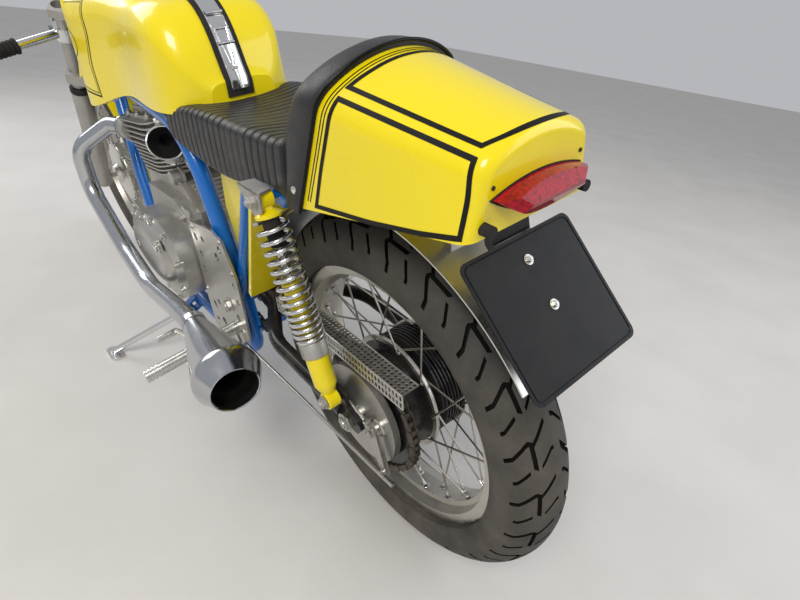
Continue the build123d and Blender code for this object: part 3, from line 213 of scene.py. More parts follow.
def blend_colour(tree, factor, low, high):
    """One colour laid over another by a factor."""
    made = tree.nodes.new("ShaderNodeMix")
    made.data_type = "RGBA"
    given = {"Factor_Float": factor, "A_Color": colour_value(low), "B_Color": colour_value(high)}
    for socket in made.inputs:
        if socket.identifier in given:
            feed(tree, socket, given[socket.identifier])
    return next(s for s in made.outputs if s.identifier == "Result_Color")


def maths(tree, operation, a, b=0.0, clamp=False):
    made = tree.nodes.new("ShaderNodeMath")
    made.operation = operation
    made.use_clamp = clamp
    for socket, value in zip(made.inputs, (a, b)):
        feed(tree, socket, value)
    return made.outputs[0]


def remap(tree, value, low, high, to_low=0.0, to_high=1.0):
    return node(tree, "MapRange", {"clamp": True}, Value=value, From_Min=low, From_Max=high, To_Min=to_low,
                To_Max=to_high).outputs["Result"]


def machine_axes(tree):
    """Object coordinates turned upright, in metres."""
    place_in = node(tree, "TexCoord").outputs["Object"]
    return node(tree, "Mapping", {"vector_type": "POINT"}, Vector=place_in, Rotation=(LEAN, 0, 0)).outputs["Vector"]


def noise(tree, vector, scale, detail=3.0, roughness=0.55):
    return node(tree, "TexNoise", Vector=vector, Scale=scale, Detail=detail, Roughness=roughness).outputs["Fac"]


def new_group(name, inputs, outputs):
    """An empty node group with named sockets; its output node and input sockets are returned."""
    group = bpy.data.node_groups.new(name, "ShaderNodeTree")
    for label, kind, default in inputs:
        socket = group.interface.new_socket(name=label, in_out="INPUT", socket_type="NodeSocket" + kind)
        socket.default_value = default
    for label, kind in outputs:
        group.interface.new_socket(name=label, in_out="OUTPUT", socket_type="NodeSocket" + kind)
    return group, group.nodes.new("NodeGroupInput").outputs, group.nodes.new("NodeGroupOutput").inputs


def group_soiling():
    """Dust that settles from below and in patches, with smudged gloss."""
    group, given, out = new_group(
        "soiling",
        [("Clean", "Color", (1, 1, 1, 1)), ("Dust", "Color", (0.3, 0.26, 0.2, 1)), ("Amount", "Float", 0.2),
         ("Gloss Low", "Float", 0.2), ("Gloss High", "Float", 0.35), ("Patch Scale", "Float", 18.0)],
        [("Color", "Color"), ("Roughness", "Float"), ("Mask", "Float")])
    axes = machine_axes(group)
    height = node(group, "SeparateXYZ", Vector=axes).outputs["Z"]
    low_down = remap(group, height, 0.75, 0.1, 0.25, 1.0)
    patches = noise(group, axes, given["Patch Scale"], 5.0, 0.62)
    specks = noise(group, axes, 420.0, 2.0)
    spread = maths(group, "MULTIPLY", remap(group, patches, 0.38, 0.72), remap(group, specks, 0.3, 0.7, 0.55, 1.0))
    mask = maths(group, "MULTIPLY", maths(group, "MULTIPLY", spread, low_down), given["Amount"], True)
    group.links.new(blend_colour(group, mask, given["Clean"], given["Dust"]), out["Color"])
    smears = noise(group, axes, maths(group, "MULTIPLY", given["Patch Scale"], 2.6), 6.0)
    smudge = maths(group, "ADD", smears, mask, True)
    gloss = remap(group, smudge, 0.3, 0.8, given["Gloss Low"], given["Gloss High"])
    group.links.new(gloss, out["Roughness"])
    group.links.new(mask, out["Mask"])
    return group


def group_fine_grain():
    """A fine uneven surface, such as sand-cast metal or the peel of sprayed paint."""
    group, given, out = new_group("fine_grain", [("Scale", "Float", 300.0), ("Coarse", "Float", 0.3)],
                                  [("Height", "Float")])
    axes = machine_axes(group)
    fine = noise(group, axes, given["Scale"], 3.0)
    coarse = noise(group, axes, maths(group, "MULTIPLY", given["Scale"], 0.12), 2.0)
    weighted = maths(group, "MULTIPLY", coarse, given["Coarse"])
    group.links.new(maths(group, "ADD", fine, weighted), out["Height"])
    return group


def group_brushing():
    """Fine scratches drawn along the machine, and some deeper ones across them."""
    group, given, out = new_group("brushing", [("Scale", "Float", 60.0)], [("Height", "Float"), ("Mask", "Float")])
    axes = machine_axes(group)
    along = node(group, "Mapping", {"vector_type": "POINT"}, Vector=axes, Scale=(1.0, 9.0, 9.0)).outputs["Vector"]
    across = node(group, "Mapping", {"vector_type": "POINT"}, Vector=axes, Rotation=(0.3, 0.9, 0.2),
                  Scale=(0.7, 14.0, 8.0)).outputs["Vector"]
    fine = noise(group, along, given["Scale"], 4.0, 0.7)
    deep = remap(group, noise(group, across, given["Scale"], 2.0), 0.62, 0.7)
    group.links.new(maths(group, "SUBTRACT", fine, maths(group, "MULTIPLY", deep, 0.35)), out["Height"])
    group.links.new(remap(group, fine, 0.3, 0.7), out["Mask"])
    return group


def group_hide_grain():
    """The pebbled grain of pressed vinyl."""
    group, given, out = new_group("hide_grain", [("Scale", "Float", 420.0)], [("Height", "Float"), ("Mask", "Float")])
    axes = machine_axes(group)
    bent = node(group, "VectorMath", {"operation": "ADD"}, Vector=axes).inputs[1]
    wobble = node(group, "TexNoise", Vector=axes, Scale=160.0, Detail=2.0).outputs["Color"]
    small = node(group, "VectorMath", {"operation": "SCALE"}, Vector=wobble, Scale=0.003).outputs["Vector"]
    group.links.new(small, bent)
    cells = node(group, "TexVoronoi", {"feature": "SMOOTH_F1"}, Vector=bent.node.outputs["Vector"],
                 Scale=given["Scale"], Smoothness=0.4).outputs["Distance"]
    group.links.new(maths(group, "SUBTRACT", 1.0, cells), out["Height"])
    group.links.new(remap(group, noise(group, axes, 40.0, 4.0), 0.35, 0.7), out["Mask"])
    return group


GROUPS = {}


def shared(tree, name, **inputs):
    """One of the shared effects, placed in a material with its own values."""
    makers = {"soiling": group_soiling, "fine_grain": group_fine_grain, "brushing": group_brushing,
              "hide_grain": group_hide_grain}
    if name not in GROUPS:
        GROUPS[name] = makers[name]()
    made = tree.nodes.new("ShaderNodeGroup")
    made.node_tree = GROUPS[name]
    for key, value in inputs.items():
        feed(tree, made.inputs[key.replace("_", " ")], value)
    return made.outputs


# Finishes

# columns: colour, dust amount, smoothest and roughest gloss, metallic, coat, grain, grain scale, grain depth in mm
PLAIN_FINISHES = {
    "black_enamel": ((0.008, 0.008, 0.009), 0.16, 0.22, 0.40, 0.0, 0.4, "fine_grain", 260.0, 0.04),
    "chain_steel": ((0.10, 0.085, 0.07), 0.35, 0.38, 0.62, 0.85, 0.0, "fine_grain", 900.0, 0.10),
    "chrome": ((0.76, 0.76, 0.75), 0.08, 0.07, 0.18, 1.0, 0.0, "fine_grain", 90.0, 0.01),
    "coil_chrome": ((0.66, 0.66, 0.65), 0.12, 0.16, 0.30, 1.0, 0.0, "fine_grain", 160.0, 0.01),
    "cast_alloy": ((0.46, 0.45, 0.42), 0.40, 0.40, 0.60, 0.9, 0.0, "fine_grain", 800.0, 0.16),
    "polished_alloy": ((0.64, 0.63, 0.60), 0.16, 0.20, 0.36, 1.0, 0.0, "brushing", 60.0, 0.008),
    "cover_alloy": ((0.50, 0.49, 0.46), 0.22, 0.30, 0.44, 0.95, 0.0, "fine_grain", 420.0, 0.02),
    "rim_alloy": ((0.58, 0.56, 0.51), 0.26, 0.24, 0.44, 1.0, 0.0, "brushing", 80.0, 0.012),
    "sheet_alloy": ((0.54, 0.53, 0.50), 0.24, 0.28, 0.46, 1.0, 0.0, "brushing", 70.0, 0.012),
    "bolt_steel": ((0.50, 0.49, 0.46), 0.22, 0.20, 0.42, 1.0, 0.0, "fine_grain", 500.0, 0.05),
    "spoke_steel": ((0.36, 0.34, 0.31), 0.30, 0.26, 0.48, 1.0, 0.0, "fine_grain", 300.0, 0.04),
    "rubber": ((0.018, 0.017, 0.017), 0.25, 0.55, 0.75, 0.0, 0.0, "fine_grain", 700.0, 0.10),
    "black_plastic": ((0.005, 0.005, 0.0055), 0.05, 0.20, 0.34, 0.0, 0.0, "fine_grain", 500.0, 0.02),
    # near-black rubber in the tyres' grooves: painted shade in the recesses
    "groove_rubber_painted_shade": ((0.005, 0.005, 0.0045), 0.04, 0.8, 0.95, 0.0, 0.0, "fine_grain", 500.0, 0.05),
    # near-black: real soot inside the exhausts' mouths, and painted shade deep in the bellmouths' throats
    "soot_and_painted_shade": ((0.005, 0.005, 0.005), 0.05, 0.85, 0.95, 0.0, 0.0, "fine_grain", 600.0, 0.15),
    "white_marks": ((0.75, 0.75, 0.72), 0.05, 0.35, 0.5, 0.0, 0.0, "fine_grain", 600.0, 0.02),
    "lamp_reflector": ((0.85, 0.85, 0.84), 0.02, 0.08, 0.14, 1.0, 0.0, "fine_grain", 120.0, 0.02),
}


def start_material(name):
    """A new material with its shader; its tree and the shader's inputs are returned."""
    made = bpy.data.materials.new(name)
    made.use_nodes = True
    tree = made.node_tree
    return made, tree, tree.nodes["Principled BSDF"].inputs


def coat_over(inputs, amount, gloss=0.06):
    inputs["Coat Weight"].default_value = amount
    inputs["Coat Roughness"].default_value = gloss


def bump(tree, inputs, height, depth_mm):
    """Raise the surface by a height of up to so many millimetres."""
    made = node(tree, "Bump", Height=height, Strength=1.0, Distance=depth_mm * MM)
    tree.links.new(made.outputs["Normal"], inputs["Normal"])


def soil(tree, inputs, colour, dust, smooth, rough, scale=18.0):
    """Lay dust over a colour and smudge the gloss; the soiled colour's mask is returned."""
    made = shared(tree, "soiling", Clean=colour_value(colour), Dust=rgba(colours().dust), Amount=dust,
                  Gloss_Low=smooth, Gloss_High=rough, Patch_Scale=scale)
    tree.links.new(made["Color"], inputs["Base Color"])
    tree.links.new(made["Roughness"], inputs["Roughness"])
    return made["Mask"]


def plain_finish(name):
    """A finish of one row of the table: soiled colour, smudged gloss and its grain."""
    colour, dust, smooth, rough, metallic, coat, grain, scale, depth = PLAIN_FINISHES[name]
    made, tree, inputs = start_material(name)
    soil(tree, inputs, colour, dust, smooth, rough)
    inputs["Metallic"].default_value = metallic
    if coat:
        coat_over(inputs, coat, 0.12)
    if not metallic:
        inputs["Specular IOR Level"].default_value = 0.15
    bump(tree, inputs, shared(tree, grain, Scale=scale)["Height"], depth)
    return made


def paint_finish(name, colour, dust):
    """Gloss paint under lacquer, with a slight orange peel and shade."""
    made, tree, inputs = start_material(name)
    shade = remap(tree, noise(tree, machine_axes(tree), 5.0, 3.0), 0.3, 0.7, 0.988, 1.012)
    toned = node(tree, "HueSaturation", Value=shade, Color=rgba(colour)).outputs["Color"]
    soil(tree, inputs, toned, dust, 0.24, 0.30, 7.0)
    coat_over(inputs, 0.55, 0.05)
    inputs["Specular IOR Level"].default_value = 0.3
    bump(tree, inputs, shared(tree, "fine_grain", Scale=110.0, Coarse=0.8)["Height"], 0.012)
    return made


def yellow_paint():
    return paint_finish("yellow_paint", colours().bodywork, 0.03)


def blue_paint():
    return paint_finish("blue_paint", colours().frame_paint, 0.10)


def stripe_paint():
    """Black lines, duller than the paint that they lie on."""
    made, tree, inputs = start_material("stripe_paint")
    soil(tree, inputs, colours().stripe, 0.02, 0.42, 0.55)
    inputs["Specular IOR Level"].default_value = 0.25
    bump(tree, inputs, shared(tree, "fine_grain", Scale=110.0, Coarse=0.8)["Height"], 0.02)
    return made


def seat_vinyl():
    """Black vinyl with a pebbled grain, paler where it is rubbed."""
    made, tree, inputs = start_material("seat_vinyl")
    hide = shared(tree, "hide_grain", Scale=520.0)
    base = colours().seat
    rubbed = blend_colour(tree, maths(tree, "MULTIPLY", hide["Mask"], 0.5), base, [c * 1.9 for c in base])
    soil(tree, inputs, rubbed, 0.05, 0.34, 0.50, 30.0)
    inputs["Specular IOR Level"].default_value = 0.36
    bump(tree, inputs, hide["Height"], 0.16)
    return made


def tyre_rubber():
    """Road-worn rubber, brown with dust at the walls and rubbed on the tread."""
    made, tree, inputs = start_material("tyre_rubber")
    axes = machine_axes(tree)
    rubbed = remap(tree, noise(tree, axes, 26.0, 5.0), 0.3, 0.7)
    worn = blend_colour(tree, rubbed, (0.018, 0.0175, 0.016), (0.040, 0.0375, 0.032))
    soil(tree, inputs, worn, 0.32, 0.60, 0.82, 9.0)
    bump(tree, inputs, shared(tree, "fine_grain", Scale=620.0, Coarse=0.9)["Height"], 0.22)
    return made


def exhaust_steel():
    """Polished stainless steel, straw and brown with heat where it leaves the engine."""
    made, tree, inputs = start_material("exhaust_steel")
    axes = machine_axes(tree)
    x = node(tree, "SeparateXYZ", Vector=axes).outputs["X"]
    uneven = maths(tree, "MULTIPLY", noise(tree, axes, 14.0, 4.0), 0.10)
    heat = maths(tree, "ADD", x, uneven)
    straw = blend_colour(tree, remap(tree, heat, 0.86, 1.0), (0.50, 0.515, 0.54), (0.52, 0.43, 0.31))
    blued = blend_colour(tree, remap(tree, heat, 0.98, 1.04), straw, (0.26, 0.31, 0.44))
    soil(tree, inputs, blued, 0.12, 0.12, 0.26)
    inputs["Metallic"].default_value = 1.0
    bump(tree, inputs, shared(tree, "brushing", Scale=45.0)["Height"], 0.006)
    return made


def guard_alloy_painted_shade():
    """The outer guard is bright alloy, and the part ahead of it is painted black as painted shade under the tail."""
    made, tree, inputs = start_material("guard_alloy_painted_shade")
    x = node(tree, "SeparateXYZ", Vector=machine_axes(tree)).outputs["X"]
    # Ahead of the edge the guard is painted black and not metallic: painted shade under the tail
    bright = remap(tree, x, PAINTED_SHADE_GUARD_EDGE + 0.002, PAINTED_SHADE_GUARD_EDGE - 0.002)
    soil(tree, inputs, blend_colour(tree, bright, (0.02, 0.02, 0.021), (0.62, 0.61, 0.58)), 0.20, 0.26, 0.42)
    tree.links.new(bright, inputs["Metallic"])
    bump(tree, inputs, shared(tree, "brushing", Scale=70.0)["Height"], 0.01)
    return made


def red_lens():
    """Moulded red plastic with small prisms inside."""
    made, tree, inputs = start_material("red_lens")
    axes = machine_axes(tree)
    cells = node(tree, "TexVoronoi", {"feature": "F1", "distance": "CHEBYCHEV"}, Vector=axes,
                 Scale=260.0).outputs["Distance"]
    tone = blend_colour(tree, remap(tree, cells, 0.1, 0.7), (0.42, 0.002, 0.018), (0.17, 0.001, 0.008))
    soil(tree, inputs, tone, 0.05, 0.14, 0.24)
    coat_over(inputs, 0.12, 0.08)
    inputs["Specular IOR Level"].default_value = 0.2
    bump(tree, inputs, cells, 0.06)
    return made


def lamp_glass():
    """Clear glass for the headlamp and the dials."""
    made, tree, inputs = start_material("lamp_glass")
    soil(tree, inputs, (0.95, 0.96, 0.96), 0.03, 0.02, 0.06)
    inputs["Transmission Weight"].default_value = 0.95
    inputs["IOR"].default_value = 1.45
    across = node(tree, "SeparateXYZ", Vector=machine_axes(tree)).outputs["Y"]
    flutes = maths(tree, "SINE", maths(tree, "MULTIPLY", across, 700.0))
    bump(tree, inputs, flutes, 0.12)
    return made


SPECIAL_FINISHES = {maker.__name__: maker for maker in (
    yellow_paint, blue_paint, stripe_paint, seat_vinyl, tyre_rubber, exhaust_steel, guard_alloy_painted_shade, red_lens, lamp_glass)}
MADE = {}


def finish(name):
    """The material of a finish, made once."""
    if name not in MADE:
        MADE[name] = SPECIAL_FINISHES[name]() if name in SPECIAL_FINISHES else plain_finish(name)
    return MADE[name]


# Shapes

# Faces that meet at more than this many degrees have a sharp edge
CREASE = 38.0


def turns(count, start=0.0):
    """Angles evenly spaced round a circle, the first at a share of a step."""
    return [2 * pi * (k + start) / count for k in range(count)]


def round_bar(radius, low, high):
    """The outline of a plain round bar or disc, for a lathe."""
    return [(0, low), (radius, low), (radius, high), (0, high)]


class Shape:
    """Points on the upright machine and the faces between them, gathered into one mesh."""

    def __init__(self):
        self.points, self.faces, self.finishes = [], [], []

    def add(self, points, faces, finish_index=0):
        base = len(self.points)
        self.points += [Vector(p) for p in points]
        self.faces += [tuple(base + i for i in face) for face in faces]
        self.finishes += [finish_index] * len(faces)

    def skin(self, rings, loop=False, caps=True, ends_meet=True, finish_index=0):
        """Faces between rings of equally many points."""
        count, total = len(rings[0]), len(rings)
        faces = []
        for i in range(total if loop else total - 1):
            a, b = i * count, (i + 1) % total * count
            for j in range(count if ends_meet else count - 1):
                k = (j + 1) % count
                faces.append((a + j, a + k, b + k, b + j))
        if caps and not loop:
            faces.append(tuple(range(count)))
            faces.append(tuple(range((total - 1) * count, total * count)))
        self.add([p for ring in rings for p in ring], faces, finish_index)

    def tube(self, path, radius, sides=12, loop=False, finish_index=0):
        """A round bar along a path; the radius is one value, or one for each point."""
        path = [Vector(p) for p in path]
        total = len(path)
        radii = radius if isinstance(radius, (list, tuple)) else [radius] * total
        rings, side = [], None
        for i, point in enumerate(path):
            ahead = path[(i + 1) % total] if loop or i < total - 1 else point
            behind = path[i - 1] if loop or i else point
            along = (ahead - behind).normalized()
            if side is None:
                side = along.orthogonal().normalized()
            side = (side - along * side.dot(along)).normalized()
            up = along.cross(side)
            rings.append([point + (side * cos(a) + up * sin(a)) * radii[i] for a in turns(sides)])
        self.skin(rings, loop=loop, finish_index=finish_index)

    def lathe(self, centre, axis, outline, sides=32, finish_index=0, closed=True):
        """An outline of (radius, distance along the axis) turned about an axis."""
        centre, axis = Vector(centre), Vector(axis).normalized()
        side = axis.orthogonal().normalized()
        up = axis.cross(side)
        rings = [[centre + axis * h + (side * cos(a) + up * sin(a)) * r for r, h in outline] for a in turns(sides)]
        self.skin(rings, loop=True, ends_meet=closed, finish_index=finish_index)

    def prism(self, outline, origin, u, v, depth, finish_index=0, bevel=0.0):
        """An outline in a plane, thickened along the plane's normal, with its far edge bevelled."""
        origin, u, v = Vector(origin), Vector(u).normalized(), Vector(v).normalized()
        normal = u.cross(v)
        flat = [origin + u * a + v * b for a, b in outline]
        middle = sum(flat, Vector()) / len(flat)
        rings = [flat, [p + normal * (depth - bevel) for p in flat]]
        if bevel:
            rings.append([p + (middle - p).normalized() * bevel + normal * depth for p in flat])
        self.skin(rings, finish_index=finish_index)

    def bolt(self, centre, axis, radius, height, finish_index=0):
        """A hexagon head on its washer, with the end of its thread."""
        centre, axis = Vector(centre), Vector(axis).normalized()
        self.lathe(centre, axis, round_bar(radius * 1.3, 0, height * 0.22), 20, finish_index)
        u = axis.orthogonal().normalized()
        v = axis.cross(u)
        hexagon = [(radius * cos(a), radius * sin(a)) for a in turns(6)]
        self.prism(hexagon, centre + axis * height * 0.2, u, v, height * 0.8, finish_index, height * 0.12)
        thread = [(0, 0), (radius * 0.5, 0), (radius * 0.45, height * 0.3), (0, height * 0.3)]
        self.lathe(centre + axis * height, axis, thread, 12, finish_index)

    def slotted_screw(self, centre, axis, radius, height, turn=0.0):
        """A round head with a slot across it."""
        centre, axis = Vector(centre), Vector(axis).normalized()
        self.lathe(centre, axis, round_bar(radius, 0, height * 0.55), 20)
        u = axis.orthogonal().normalized()
        v = axis.cross(u)
        u, v = u * cos(turn) + v * sin(turn), v * cos(turn) - u * sin(turn)
        half_slot = radius * 0.16
        start = acos(half_slot / radius)
        for side in SIDES:
            outline = [(radius * sin(a) * 0.99, side * radius * cos(a) * 0.99)
                       for a in [-start + 2 * start * k / 8 for k in range(9)]]
            self.prism(outline, centre + axis * height * 0.5, u, v, height * 0.5, 0, height * 0.15)


def add_object(name, shape, finishes=()):
    """An object from a shape, its meeting points joined and its faces turned outwards."""
    mesh = bpy.data.meshes.new(name)
    mesh.from_pydata([place(p) for p in shape.points], [], shape.faces)
    for one in finishes:
        mesh.materials.append(finish(one))
    mesh.polygons.foreach_set("material_index", shape.finishes)
    form = bmesh.new()
    form.from_mesh(mesh)
    bmesh.ops.remove_doubles(form, verts=form.verts, dist=2e-7)
    bmesh.ops.dissolve_degenerate(form, edges=form.edges, dist=1e-7)
    bmesh.ops.recalc_face_normals(form, faces=form.faces)
    form.to_mesh(mesh)
    form.free()
    thing = bpy.data.objects.new(name, mesh)
    bpy.context.scene.collection.objects.link(thing)
    return thing


def piece(name, shape, finishes, body, crease=CREASE):
    """A new object from a shape, with its finishes, riding on its body."""
    thing = add_object(name, shape, finishes)
    mesh = thing.data
    mesh.polygons.foreach_set("use_smooth", [True] * len(mesh.polygons))
    mesh.set_sharp_from_angle(angle=radians(crease))
    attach(thing, body)
    return thing


def drill(thing, holes):
    """Cut round holes, each (centre, axis, radius, depth), through a piece."""
    cutter = Shape()
    for centre, axis, radius, depth in holes:
        cutter.lathe(centre, axis, round_bar(radius, -depth, depth), 20)
    tool = add_object("holes", cutter)
    cut = thing.modifiers.new("holes", "BOOLEAN")
    cut.object, cut.operation, cut.solver = tool, "DIFFERENCE", "EXACT"
    bpy.context.view_layer.update()
    result = bpy.data.meshes.new_from_object(thing.evaluated_get(bpy.context.evaluated_depsgraph_get()))
    thing.modifiers.clear()
    thing.data = result
    bpy.data.objects.remove(tool)
    result.set_sharp_from_angle(angle=radians(CREASE))


def surface_of(name):
    """A solid's surface, to lay trim on."""
    mesh = NODES[name].data
    points = [upright(v.co) for v in mesh.vertices]
    return BVHTree.FromPolygons(points, [p.vertices for p in mesh.polygons])


def tilted(x, y, z):
    """A point of the leaning cylinders, whose origin is the top of the case."""
    return Vector((CYLINDER_X + x * cos(CYLINDER_LEAN) + z * sin(CYLINDER_LEAN), y,
                   CASE_TOP_Z + z * cos(CYLINDER_LEAN) - x * sin(CYLINDER_LEAN)))


def rounded(corners, radii, step=5.0):
    """A route whose corners are arcs of the given radii."""
    corners = [Vector(c) for c in corners]
    points = [corners[0]]
    for before, corner, after, radius in zip(corners, corners[1:], corners[2:], radii):
        a, b = (before - corner).normalized(), (after - corner).normalized()
        half = a.angle(b) / 2
        centre = corner + (a + b).normalized() * radius / sin(half)
        start = (corner + a * radius / tan(half) - centre).normalized()
        end = (corner + b * radius / tan(half) - centre).normalized()
        count = max(3, int((pi - 2 * half) * radius / step))
        points += [centre + start.slerp(end, k / count) * radius for k in range(count + 1)]
    return points + [corners[-1]]


def along_lines(corners, step, closed=False):
    """Points every so often on straight runs between corners."""
    corners = [Vector(c) for c in corners]
    if closed:
        corners.append(corners[0])
    points = []
    for a, b in zip(corners, corners[1:]):
        count = max(1, round((b - a).length / step))
        points += [a.lerp(b, i / count) for i in range(count)]
    return points if closed else points + [corners[-1]]


def ribbon(shape, surface, points, width, proud, closed=False, finish_index=0):
    """A flat band laid on a surface along points near it, mitred where it turns."""
    points = [surface.find_nearest(p)[0] for p in points]
    total = len(points)
    for _ in range(3):
        eased = []
        for i, p in enumerate(points):
            if not closed and i in (0, total - 1):
                eased.append(p)
                continue
            before, after = points[i - 1], points[(i + 1) % total]
            straight = (p - before).normalized().dot((after - p).normalized()) > 0.9
            eased.append(p * 0.5 + (before + after) * 0.25 if straight else p)
        points = eased
    laid = [surface.find_nearest(p)[:2] for p in points]
    rings = []
    for i, (hit, normal) in enumerate(laid):
        ahead = laid[(i + 1) % total][0] - hit if closed or i < total - 1 else hit - laid[i - 1][0]
        behind = hit - laid[i - 1][0] if closed or i else ahead
        first, second = ahead.normalized(), behind.normalized()
        along = (first + second).normalized()
        mitre = 1.0 / max(0.35, along.dot(first))
        side = along.cross(normal).normalized() * width / 2 * mitre
        edges = []
        for offset in (-1.0, -0.33, 0.33, 1.0):
            spot, up, _, _ = surface.find_nearest(hit + side * offset)
            edges.append(spot + up * proud)
        rings.append(edges)
    shape.skin(rings, loop=closed, caps=False, ends_meet=False, finish_index=finish_index)


# Operators: one for each piece or group of like pieces

class RACER_OT_solids(bpy.types.Operator):
    """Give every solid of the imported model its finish"""
    bl_idname = "racer.solids"
    bl_label = "Finish the solids"

    def execute(self, context):
        for finish_name, nodes in SOLID_FINISHES.items():
            for name in nodes:
                mesh = NODES[name].data
                mesh.materials.clear()
                mesh.materials.append(finish(finish_name))
        return {"FINISHED"}


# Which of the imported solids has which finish
SOLID_FINISHES = {
    "blue_paint": ("frame",),
    "yellow_paint": ("fuel_tank", "seat_tail", "oil_tank", "front_mudguard"),
    "cast_alloy": ("crankcase", "cylinder_barrel", "cylinder_head", "carburettors", "yokes", "fork_legs"),
    "polished_alloy": ("footrests", "brake_pedal", "engine_levers", "front_hub"),
    "cover_alloy": ("engine_covers", "front_brake_plate", "rear_brake_plate"),
    "rim_alloy": ("rear_rim", "front_rim"),
    "exhaust_steel": ("exhausts",),
    "guard_alloy_painted_shade": ("rear_mudguards",),
    "chrome": ("filler_cap", "handlebars", "side_stand"),
    "black_enamel": ("rear_hub", "instruments", "headlamp", "plate_bracket", "swingarm"),
    "bolt_steel": ("rear_axle", "brake_rod"),
    "spoke_steel": ("rear_spokes", "front_spokes"),
    "red_lens": ("tail_light",),
    "rubber": ("tail_bungs",),
    "seat_vinyl": ("seat_pad",),
    "tyre_rubber": ("rear_tyre", "front_tyre"),
    "chain_steel": ("chain",),
    "coil_chrome": ("shock_springs", "shock_bodies"),
    "black_plastic": ("number_plate",),
}


def tyre_section(radius, crown, foot, across):
    """Where a distance across the tread is: (radius from the axle, Y, and the normal there)."""
    quarter = crown * pi / 2
    side = 1 if across >= 0 else -1
    reach = abs(across)
    if reach <= quarter:
        angle = reach / crown
        return radius - crown + crown * cos(angle), side * crown * sin(angle), cos(angle), side * sin(angle)
    drop, tuck = radius - crown - (RIM_FLANGE_RADIUS + BEAD_GAP), crown - foot
    wall = (drop * drop + tuck * tuck) / (2 * tuck)
    angle = min((reach - quarter) / wall, atan2(drop, wall - tuck))
    return radius - crown - wall * sin(angle), side * (crown - wall + wall * cos(angle)), -sin(angle), side * cos(angle)


def groove_flow(reach, kinks):
    """How far round the tyre the tread's grooves have swept at a distance from its middle."""
    swept, last = 0.0, 0.0
    for limit, slope in kinks:
        step = min(reach, limit) - last
        if step <= 0:
            break
        swept += step * slope
        last = limit
    return swept


# Each tyre's section and tread, in mm across from the middle of the tread.
# kinks: how far across, and how far the grooves sweep round there for each mm across
# cuts: where it starts as a share of the pitch, its width round, and where it runs from and to
# rows: more places across where the mesh has points
TREADS = {
    "rear_tyre": {
        "axle": REAR_AXLE, "radius": REAR_TYRE_RADIUS, "crown": 55.0, "foot": 47.6, "rim_half": 36.0, "pitches": 24,
        "kinks": ((9, 0.2), (30, 1.25), (37, -0.6), (60, 0.95), (74, 0.3), (200, 0.0)),
        "cuts": ((0.0, 7.5, 8, 73), (0.5, 6.5, 41, 66), (0.5, 6.0, 4, 25), (0.0, 44.0, 30, 36)),
        "rows": (2, 12, 17, 21, 28, 40, 47, 54, 60, 69, 78, 83, 86.4, 92, 98, 104, 110, 115.3)},
    "front_tyre": {
        "axle": FRONT_AXLE, "radius": FRONT_TYRE_RADIUS, "crown": 46.0, "foot": 32.6, "rim_half": 31.0, "pitches": 30,
        "kinks": ((12, 0.5), (24, -0.5), (58, 0.7), (200, 0.0)),
        "cuts": ((0.0, 60.0, 10, 14), (0.5, 60.0, 26, 30), (0.0, 3.5, 34, 56)),
        "rows": (2, 6, 18, 22, 40, 47, 60, 66, 72.3, 80, 88, 96, 104, 110)},
}
TREAD_STEP = 7.0
GROOVE_WALL = 0.5
BEAD_GAP = 1.0


def build_tyre(axle, radius, crown, foot, rim_half, pitches, kinks, cuts, rows):
    """A tyre whose grooves follow the grid of its mesh."""
    depth = sizes().tread_depth / MM
    pitch = 2 * pi * radius / pitches
    wall = GROOVE_WALL
    slack = 1e-3
    stations = {0.0}
    for phase, width, _, _ in cuts:
        start = phase * pitch
        for edge in (start, start + wall, start + width - wall, start + width):
            stations.add(round(edge, 3))
    stations = sorted(stations) + [pitch]
    filled = []
    for a, b in zip(stations, stations[1:]):
        parts = max(1, round((b - a) / TREAD_STEP))
        filled += [a + (b - a) * k / parts for k in range(parts)]
    levels = set()
    for _, _, low, high in cuts:
        for edge in (low, low + wall, high - wall, high):
            levels.update((round(edge, 3), round(-edge, 3)))
    levels.update(rows)
    levels.update(-r for r in rows)
    levels = sorted(levels)

    def sunk(s, t):
        """How deep the groove is at a place round and across, with the right side half a pitch on."""
        for phase, width, low, high in cuts:
            for side in SIDES:
                shift = 0.0 if side > 0 else 0.5 * pitch
                along = (s - (phase * pitch + shift) % pitch) % pitch
                in_width = wall - slack - 1e-6 < along < width - wall + slack
                if in_width and low + wall - slack < side * t < high - wall + slack:
                    return depth
        return 0.0

    shape = Shape()
    rings, grooves = [], []
    for index in range(pitches):
        for s in filled:
            ring = []
            grooves.append([sunk(s, t) > 0 for t in levels])
            for t in levels:
                r, y, normal_r, normal_y = tyre_section(radius, crown, foot, t)
                low = sunk(s, t)
                angle = (index * pitch + s + groove_flow(abs(t), kinks)) / radius
                r, y = r - normal_r * low, y - normal_y * low
                ring.append(Vector((axle.x + r * cos(angle), y, axle.z + r * sin(angle))))
            angle = (index * pitch + s + groove_flow(abs(levels[-1]), kinks)) / radius
            flange, seat, edge = RIM_FLANGE_RADIUS + BEAD_GAP, RIM_SEAT_RADIUS + BEAD_GAP, rim_half - 5
            for r, y in ((flange, edge), (seat, edge), (seat, -edge), (flange, -edge)):
                ring.append(Vector((axle.x + r * cos(angle), y, axle.z + r * sin(angle))))
            rings.append(ring)
    shape.skin(rings, loop=True)
    count = len(rings[0])
    # Faces in and beside the grooves take the second finish, a near-black rubber that is painted shade
    for i, row in enumerate(grooves):
        after = grooves[(i + 1) % len(grooves)]
        for j in range(len(levels) - 1):
            if row[j] or row[j + 1] or after[j] or after[j + 1]:
                shape.finishes[i * count + j] = 1
    return shape


